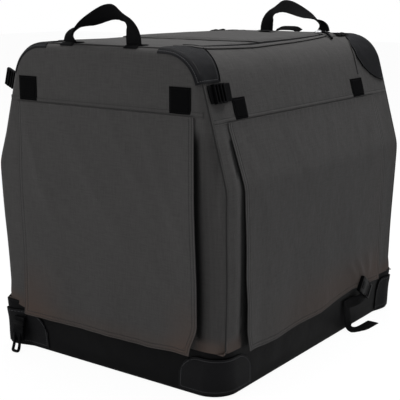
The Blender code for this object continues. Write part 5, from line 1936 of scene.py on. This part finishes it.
def pushed(made, way, by, grow=(1, 1, 1)):
    """Extrudes the faces that look furthest towards way, and scales the new ones about their
    own middle."""
    take(made)
    way = Vector(way)
    reach = max(p.center.dot(way) for p in made.data.polygons if p.normal.dot(way) > 0.9)
    bpy.ops.object.mode_set(mode="EDIT")
    bpy.ops.mesh.select_mode(type="FACE")
    bpy.ops.mesh.select_all(action="DESELECT")
    bpy.ops.object.mode_set(mode="OBJECT")
    middle = Vector()
    area = 0.0
    for poly in made.data.polygons:
        poly.select = poly.normal.dot(way) > 0.9 and poly.center.dot(way) > reach - 1e-5
        if poly.select:
            middle += poly.center * poly.area
            area += poly.area
    bpy.ops.object.mode_set(mode="EDIT")
    bpy.ops.mesh.extrude_region_move(TRANSFORM_OT_translate={"value": tuple(way * by)})
    if tuple(grow) != (1, 1, 1):
        bpy.ops.transform.resize(value=grow, center_override=tuple(middle / area + way * by))
    bpy.ops.object.mode_set(mode="OBJECT")
    return made


def side_release(name):
    """A side-release buckle lying flat, its length along Y from 0: the body, the waist between
    its prongs, the wider shoulders and the bar that holds the strap."""
    length, half, thick = 0.058, 0.017, 0.0088
    deselect()
    bpy.ops.mesh.primitive_cube_add(size=1, location=(0, length * 0.21, thick / 2))
    made = bpy.context.object
    made.name = name
    made.scale = (half * 2, length * 0.42, thick)
    settle(made)
    pushed(made, (0, 1, 0), length * 0.03, (0.74, 1, 0.86))
    pushed(made, (0, 1, 0), length * 0.17)
    pushed(made, (0, 1, 0), length * 0.03, (1.30, 1, 1.0))
    pushed(made, (0, 1, 0), length * 0.27)
    pushed(made, (0, 1, 0), length * 0.05, (0.86, 1, 0.6))
    pushed(made, (0, -1, 0), length * 0.001, (0.94, 1, 0.8))
    applied(made, "BEVEL", width=0.0011, segments=3, limit_method="ANGLE")
    parts = [made]
    parts.append(cast(name + "_rib", (0, length * 0.20, thick), (0.016, 0.012, 0.0016), 0.0006))
    parts.append(cast(name + "_bar", (0, length * 0.80, thick * 0.96), (0.026, 0.0035, 0.0020),
                      0.0008))
    for way in (-1, 1):
        parts.append(cast(name + "_prong", (way * 0.0135, length * 0.50, thick * 0.5),
                          (0.0040, 0.012, thick * 0.8), 0.0010))
    return joined(name, parts)


def turned_to(made, matrix):
    """Moves the mesh by a matrix, as by hand with the object's own place, then settles it."""
    made.matrix_world = matrix @ made.matrix_world
    return settle(made)


# Handles


# Where a handle's feet stand, how high its crest is and how far out it runs
HANDLE_FOOT_X = 0.086
HANDLE_RISE = 0.0783
HANDLE_Y = 0.370
# How far the handle leans over along its course, in degrees, so that its inner face shows
HANDLE_LEANS = ((-1.2, 0), (-0.80, 0), (-0.54, 20), (-0.28, 36), (-0.03, 47), (0.17, 54),
                (0.35, 56), (0.48, 47), (0.62, 27), (0.76, 9), (0.88, 0), (1.0, 0))
# The webbing's course over the front: along and up as shares of the handle's foot and rise,
# and how far its width is turned, in degrees
HANDLE_COURSE = (
    (-1.09, 0.00, 0), (-1.06, 0.14, -8), (-0.97, 0.28, -36), (-0.78, 0.42, -66),
    (-0.54, 0.60, -88), (-0.28, 0.77, -90), (-0.03, 0.91, -90), (0.17, 0.99, -90),
    (0.35, 1.00, -87), (0.51, 0.90, -74), (0.65, 0.74, -52), (0.77, 0.55, -25),
    (0.86, 0.34, -8), (0.90, 0.15, 0), (0.91, 0.00, 0),
)


def handle_line(ey, steps):
    """The standing handle's centre line and width directions; the rear one is the front one
    turned half round."""
    low = HEIGHT + 0.0012
    course = through([(along * HANDLE_FOOT_X, up * HANDLE_RISE, turn * 0.001)
                      for along, up, turn in HANDLE_COURSE], steps + 1)
    centres = []
    wides = []
    for here in course:
        turn = math.radians(here.z * 1000)
        lean = math.radians(between(HANDLE_LEANS, here.x / HANDLE_FOOT_X))
        drop = 0.0170 * math.sin(lean)
        centres.append(Vector((-ey * here.x, ey * HANDLE_Y, low + max(0.0, here.y - drop))))
        wides.append(Vector((-ey * math.cos(turn), -ey * math.sin(turn) * math.cos(lean),
                             math.sin(lean))))
    return centres, wides


def make_handles():
    width = bpy.context.scene.crate_sizes.webbing
    for end, ey in ENDS:
        centres, wides = handle_line(ey, 84)
        made = strap_mesh(f"{end}_carry_strap", centres, wides, width, 0.0026, columns=10)
        dressed(made, FINISHES["webbing"], f"{end}_handle_body", [f"{end}_handle"])
        for name, share in (("first", HANDLE_COURSE[0][0]), ("last", HANDLE_COURSE[-1][0])):
            foot = []
            for i in range(17):
                run = -0.026 + 0.038 * i / 16
                turn = max(0.0, run / EDGE_ROLL)
                out = EDGE_ROLL + 0.0018 + 0.0005 * math.sin(math.pi * i / 16)
                foot.append(Vector((-ey * share * HANDLE_FOOT_X,
                                    ey * (SIDE_SEAM_Y + min(run, 0.0) + out * math.sin(turn)),
                                    HEIGHT - EDGE_ROLL + out * math.cos(turn))))
            pad = strap_mesh(f"{end}_{name}_handle_foot", foot, [Vector((1, 0, 0))] * 17,
                             width * 0.9, 0.0022, columns=8)
            dressed(pad, FINISHES["webbing"], "roof")
    line = [on_roof(0.043, 0.166 + 0.026 * i / 8, 0.0094 + 0.0008 * math.sin(math.pi * i / 8))
            for i in range(9)]
    pad = strap_mesh("roof_roll_up_tab", line, [Vector((1, 0, 0))] * 9, 0.036, 0.0024, columns=8)
    dressed(pad, FINISHES["webbing"], "roof_flap_body")
    line = through([(-0.052, 0.368, HEIGHT + 0.0022), (-0.038, 0.369, HEIGHT + 0.008),
                    (-0.016, 0.370, HEIGHT + 0.0090), (0.006, 0.369, HEIGHT + 0.008),
                    (0.020, 0.368, HEIGHT + 0.0022)], 30)
    pad = strap_mesh("rear_small_loop", line, [Vector((0, 1, 0.5))] * 30, 0.022, 0.0026)
    dressed(pad, FINISHES["webbing"], "roof")


# Top buckles


def make_top_buckles():
    """Ladder buckles on short webbing behind the front hoop."""
    front = -(SIDE_SEAM_Y - 0.002)
    run = OUTLINE.run_at(0.614)
    for side, ex in SIDES:
        def on_side(a, b, out, ex=ex):
            x, z = OUTLINE.at(run + b, out)
            return Vector((ex * x, front + a, z))

        origin = on_side(0, 0, 0.0006)
        ahead = Vector((0, 1, 0))
        up = (on_side(0, 0.01, 0.0006) - on_side(0, -0.01, 0.0006)).normalized()
        out = (on_side(0, 0, 0.01) - origin).normalized()
        if ex < 0:
            ahead, out = ahead * 0.24 + out * 0.97, out * 0.24 - ahead * 0.97
            origin += Vector((0, 0.006, -0.005))
        matrix = Matrix((
            (ahead.x, up.x, out.x, origin.x),
            (ahead.y, up.y, out.y, origin.y),
            (ahead.z, up.z, out.z, origin.z),
            (0, 0, 0, 1),
        ))
        frame_bits = [cast(f"{side}_ladder", (0.0290, 0, 0.0042), (0.034, 0.0385, 0.0030), 0.0009)]
        for place, tall in ((0.0135, 0.0085), (0.0235, 0.0080), (0.0335, 0.0085), (0.0445, 0.0075)):
            frame_bits.append(cast(f"{side}_bar", (place, 0, tall / 2 + 0.0012),
                                   (0.0044, 0.0385, tall), 0.0012))
        for way in (-1, 1):
            frame_bits.append(cast(f"{side}_cheek", (0.0290, way * 0.0178, 0.0046),
                                   (0.0340, 0.0034, 0.0078), 0.0012))
        buckle = joined(f"{side}_ladder_buckle", frame_bits)
        turned_to(buckle, matrix)
        if ex < 0:
            take(buckle)
            bpy.ops.object.mode_set(mode="EDIT")
            bpy.ops.mesh.select_all(action="SELECT")
            bpy.ops.mesh.normals_make_consistent(inside=False)
            bpy.ops.object.mode_set(mode="OBJECT")
        smooth(buckle, 35)
        dressed(buckle, FINISHES["plastic"], f"{side}_seam", [f"{side}_top_buckle"])
        line = []
        long = 0.070 if ex > 0 else 0.050
        for i in range(40):
            t = i / 39
            hump = 0.0032 * math.exp(-((t - 0.42) / 0.18) ** 2)
            line.append(origin + ahead * (0.001 + long * t) + up * 0.0006 * math.sin(9 * t)
                        + out * (0.0016 + hump))
        made = strap_mesh(f"{side}_top_strap", line, [up] * 40, 0.036, 0.0022, columns=8)
        dressed(made, FINISHES["webbing"], f"{side}_seam")


# Straps and buckles at the foot


def make_base_straps():
    floor = 0.0016
    top_z = HEM_Z - 0.006
    side = TUB_HALF_X - 0.005 * (1 - (top_z - 0.006) / 0.094) + 0.0018
    path = (
        (0.00, 0.00, 1.00, 90), (0.07, 0.04, 0.50, 90), (0.15, 0.07, 0.16, 90),
        (0.38, 0.11, 0.04, 90), (0.69, 0.24, 0.00, 121), (0.93, 0.44, 0.00, 158),
        (1.00, 1.00, 0.00, 180),
    )
    points = []
    turns = []
    for out, along, up, turn in path:
        points.append((side + 0.029 * out, 0.150 + 0.092 * along, floor + (top_z - floor) * up))
        turns.append(turn)
    count = 70
    line = through(points, count)
    runs = [0.0]
    for a, b in zip(points, points[1:]):
        runs.append(runs[-1] + (Vector(b) - Vector(a)).length)
    wides = []
    for i in range(count):
        goal = runs[-1] * i / (count - 1)
        k = 0
        while k < len(runs) - 2 and runs[k + 1] < goal:
            k += 1
        share = min(1, (goal - runs[k]) / (runs[k + 1] - runs[k]))
        turn = math.radians(turns[k] + (turns[k + 1] - turns[k]) * share)
        wides.append(Vector((math.cos(turn), math.sin(turn), 0)))
    for point in line:
        point.z = max(point.z, floor)
    strap = strap_mesh("rear_closing_strap", line, wides, 0.030, 0.0023, columns=8)
    dressed(strap, FINISHES["webbing"], "base", ["rear_right_base_strap"])
    tab_z = top_z - 0.013
    near = 0.3055
    points = [(side + 0.0008, 0.150, tab_z), (side + 0.0030, 0.178, tab_z),
              (near, 0.206, tab_z + 0.001), (near, 0.232, tab_z + 0.003)]
    tab = strap_mesh("rear_buckle_tab", through(points, 26), [Vector((0, 0, 1))] * 26,
                     0.026, 0.0022, columns=8)
    dressed(tab, FINISHES["webbing"], "base")

    tilt = math.radians(55)
    along = Vector((0, math.sin(tilt), -math.cos(tilt)))
    across = Vector((0, math.cos(tilt), math.sin(tilt)))
    along, across = along * 1.14, across * 1.14
    start = Vector((0.3085, 0.219, 0.094)) - along * 0.029
    buckle = side_release("rear_side_release")
    turned_to(buckle, Matrix((
        (across.x, along.x, 1, start.x), (across.y, along.y, 0, start.y),
        (across.z, along.z, 0, start.z), (0, 0, 0, 1),
    )))
    facing_out(buckle)
    smooth(buckle, 35)
    dressed(buckle, FINISHES["plastic"], "base", ["rear_right_base_buckle"])

    x = -0.264
    slope = 0.012 / 0.066
    top_z = HEM_Z - 0.008
    top_y = -(TUB_HALF_Y - 0.005 * (1 - (top_z - 0.006) / 0.094) + 0.0012 + 0.0016)
    points = [(x, top_y - slope * d, top_z - d) for d in (0, 0.022, 0.044, 0.066)]
    strap = strap_mesh("front_closing_strap", through(points, 30), [Vector((1, 0, 0))] * 30,
                       0.027, 0.0022, columns=8)
    dressed(strap, FINISHES["webbing"], "base", ["front_left_base_strap"])
    lean = math.atan(slope)
    along = Vector((0, math.sin(lean), math.cos(lean)))
    out = Vector((0, -math.cos(lean), math.sin(lean)))
    middle = Vector((x, top_y - slope * 0.033, top_z - 0.033)) + out * 0.0016
    start = middle - along * 0.029
    buckle = side_release("front_side_release")
    turned_to(buckle, Matrix((
        (1, along.x, out.x, start.x), (0, along.y, out.y, start.y),
        (0, along.z, out.z, start.z), (0, 0, 0, 1),
    )))
    facing_out(buckle)
    smooth(buckle, 35)
    dressed(buckle, FINISHES["plastic"], "base", ["front_left_base_buckle"])
    foot = start.y - 0.0040
    half = [(0.0082, 0.0, 0.034), (0.0085, -0.011, 0.014), (0.0090, -0.019, 0.0070),
            (0.0080, -0.0255, 0.0044), (0.0030, -0.0280, 0.0042)]
    loop = [(x - a - 0.70 * b, foot + b, c) for a, b, c in half] + [
        (x + a - 0.70 * b, foot + b, c) for a, b, c in reversed(half)]
    piping("front_buckle_loop", through(loop, 60), 0.0034, FINISHES["plastic"], "base",
           sides=12)


def facing_out(made):
    take(made)
    bpy.ops.object.mode_set(mode="EDIT")
    bpy.ops.mesh.select_all(action="SELECT")
    bpy.ops.mesh.normals_make_consistent(inside=False)
    bpy.ops.object.mode_set(mode="OBJECT")
    return made


# Studio


def make_stage():
    scene = bpy.context.scene
    scene.view_settings.view_transform = "Standard"
    deselect()
    bpy.ops.mesh.primitive_plane_add(size=24, location=(0, 0, -0.0004))
    floor = bpy.context.object
    floor.name = "studio_floor"
    settle(floor)
    f = Finish("studio_paper", (0.80, 0.80, 0.80), 0.9)
    glow = f.node("ShaderNodeEmission", None, {"Color": (1.0, 1.0, 1.0, 1.0), "Strength": 1.05})
    rays = f.node("ShaderNodeLightPath")
    camera = Amount(f, rays.outputs["Is Camera Ray"])
    shiny = Amount(f, rays.outputs["Is Glossy Ray"])
    through_glass = Amount(f, rays.outputs["Is Transmission Ray"])
    share = (camera * 0.90 + shiny * 0.5 + through_glass * 0.90).held()
    mix = f.node("ShaderNodeMixShader", None,
                 {0: share, 1: f.shader.outputs[0], 2: glow.outputs[0]})
    f.tree.links.new(mix.outputs[0], f.tree.nodes["Material Output"].inputs["Surface"])
    floor.data.materials.append(f.material)

    world = bpy.data.worlds.new("studio_world")
    scene.world = world
    world.use_nodes = True
    tree = world.node_tree
    back = tree.nodes["Background"]
    back.inputs["Color"].default_value = (0.95, 0.97, 1.0, 1)
    back.inputs["Strength"].default_value = 0.34
    white = tree.nodes.new("ShaderNodeBackground")
    white.inputs["Color"].default_value = (1, 1, 1, 1)
    white.inputs["Strength"].default_value = 1.0
    path = tree.nodes.new("ShaderNodeLightPath")
    either = tree.nodes.new("ShaderNodeMath")
    either.operation = "MAXIMUM"
    tree.links.new(path.outputs["Is Camera Ray"], either.inputs[0])
    tree.links.new(path.outputs["Is Transmission Ray"], either.inputs[1])
    mix = tree.nodes.new("ShaderNodeMixShader")
    tree.links.new(either.outputs[0], mix.inputs[0])
    tree.links.new(back.outputs[0], mix.inputs[1])
    tree.links.new(white.outputs[0], mix.inputs[2])
    tree.links.new(mix.outputs[0], tree.nodes["World Output"].inputs["Surface"])

    for name, place, target, size, power in LAMPS:
        light = bpy.data.lights.new(name, "AREA")
        light.shape = "SQUARE"
        light.size = size
        light.energy = power
        lamp = bpy.data.objects.new(name, light)
        bpy.context.collection.objects.link(lamp)
        lamp.location = place
        lamp.rotation_euler = (Vector(target) - Vector(place)).to_track_quat("-Z", "Y").to_euler()

    lens = bpy.data.cameras.new("photo_view")
    lens.lens = PHOTO_LENS_MM
    lens.sensor_width = PHOTO_SENSOR_MM
    lens.sensor_fit = "HORIZONTAL"
    lens.clip_end = 100
    view = bpy.data.objects.new("photo_view", lens)
    bpy.context.collection.objects.link(view)
    view.location = PHOTO_EYE
    view.rotation_euler = (Vector(PHOTO_TARGET) - view.location).to_track_quat("-Z", "Y").to_euler()
    scene.camera = view


# Operators, panel and registration


class CRATE_OT_stage(bpy.types.Operator):
    """Lay the floor, set the soft lights and place the camera"""

    bl_idname = "crate.stage"
    bl_label = "Studio"

    def execute(self, context):
        make_stage()
        return {"FINISHED"}


class CRATE_OT_finishes(bpy.types.Operator):
    """Mix the finishes and give the frame's rigid pieces theirs"""

    bl_idname = "crate.finishes"
    bl_label = "Finishes"

    def execute(self, context):
        make_finishes()
        refinish_frame()
        return {"FINISHED"}


class CRATE_OT_tub(bpy.types.Operator):
    """Form the tarpaulin tub and its corner patches"""

    bl_idname = "crate.tub"
    bl_label = "Tub"

    def execute(self, context):
        make_tub()
        make_tub_patches()
        return {"FINISHED"}


class CRATE_OT_mat(bpy.types.Operator):
    """Quilt the floor mat"""

    bl_idname = "crate.mat"
    bl_label = "Mat"

    def execute(self, context):
        make_mat()
        return {"FINISHED"}


class CRATE_OT_walls(bpy.types.Operator):
    """Hang the four canvas walls, with their piping and bound openings"""

    bl_idname = "crate.walls"
    bl_label = "Walls"

    def execute(self, context):
        make_walls()
        make_bindings()
        return {"FINISHED"}


class CRATE_OT_nets(bpy.types.Operator):
    """Sew the nets into the doorway, the windows and the roof"""

    bl_idname = "crate.nets"
    bl_label = "Nets"

    def execute(self, context):
        make_nets()
        return {"FINISHED"}


class CRATE_OT_flaps(bpy.types.Operator):
    """Hang the four flaps from their taped seams"""

    bl_idname = "crate.flaps"
    bl_label = "Flaps"

    def execute(self, context):
        make_flaps()
        return {"FINISHED"}


class CRATE_OT_squares(bpy.types.Operator):
    """Sew on the hook-and-loop squares"""

    bl_idname = "crate.squares"
    bl_label = "Hook and loop"

    def execute(self, context):
        make_squares()
        return {"FINISHED"}


class CRATE_OT_shoulders(bpy.types.Operator):
    """Patch the four round shoulders"""

    bl_idname = "crate.shoulders"
    bl_label = "Shoulder patches"

    def execute(self, context):
        make_shoulders()
        return {"FINISHED"}


class CRATE_OT_roof(bpy.types.Operator):
    """Stretch the roof and its cover, and fit the zips with their slider"""

    bl_idname = "crate.roof"
    bl_label = "Roof"

    def execute(self, context):
        make_roof()
        make_zips()
        make_side_seams()
        make_slider()
        return {"FINISHED"}


class CRATE_OT_handles(bpy.types.Operator):
    """Stand the two webbing handles on the roof"""

    bl_idname = "crate.handles"
    bl_label = "Handles"

    def execute(self, context):
        make_handles()
        return {"FINISHED"}


class CRATE_OT_top_buckles(bpy.types.Operator):
    """Fit the ladder buckles at the front shoulders"""

    bl_idname = "crate.top_buckles"
    bl_label = "Top buckles"

    def execute(self, context):
        make_top_buckles()
        return {"FINISHED"}


class CRATE_OT_base_straps(bpy.types.Operator):
    """Fit the closing straps and their side-release buckles at the foot"""

    bl_idname = "crate.base_straps"
    bl_label = "Closing straps"

    def execute(self, context):
        make_base_straps()
        return {"FINISHED"}


STEPS = ("finishes", "tub", "mat", "walls", "nets", "flaps", "squares", "shoulders", "roof",
         "handles", "top_buckles", "base_straps", "stage")


class CRATE_PT_panel(bpy.types.Panel):
    """The crate's pieces, in the order in which they are made"""

    bl_idname = "CRATE_PT_panel"
    bl_label = "Folding dog crate"
    bl_space_type = "VIEW_3D"
    bl_region_type = "UI"
    bl_category = "Crate"

    def draw(self, context):
        sizes = context.scene.crate_sizes
        colours = context.scene.crate_colours
        for group in (sizes, colours):
            box = self.layout.box()
            for key in group.bl_rna.properties.keys():
                if key not in ("rna_type", "name"):
                    box.prop(group, key)
        for step in STEPS:
            self.layout.operator("crate." + step)


CLASSES = (
    CrateSizes, CrateColours, CRATE_OT_stage, CRATE_OT_finishes, CRATE_OT_tub, CRATE_OT_mat,
    CRATE_OT_walls, CRATE_OT_nets, CRATE_OT_flaps, CRATE_OT_squares, CRATE_OT_shoulders,
    CRATE_OT_roof, CRATE_OT_handles, CRATE_OT_top_buckles, CRATE_OT_base_straps, CRATE_PT_panel,
)


def register():
    for one in CLASSES:
        bpy.utils.register_class(one)
    bpy.types.Scene.crate_sizes = PointerProperty(type=CrateSizes)
    bpy.types.Scene.crate_colours = PointerProperty(type=CrateColours)


def unregister():
    del bpy.types.Scene.crate_colours
    del bpy.types.Scene.crate_sizes
    for one in reversed(CLASSES):
        bpy.utils.unregister_class(one)


def main():
    register()
    for step in STEPS:
        getattr(bpy.ops.crate, step)()


if __name__ == "__main__":
    main()
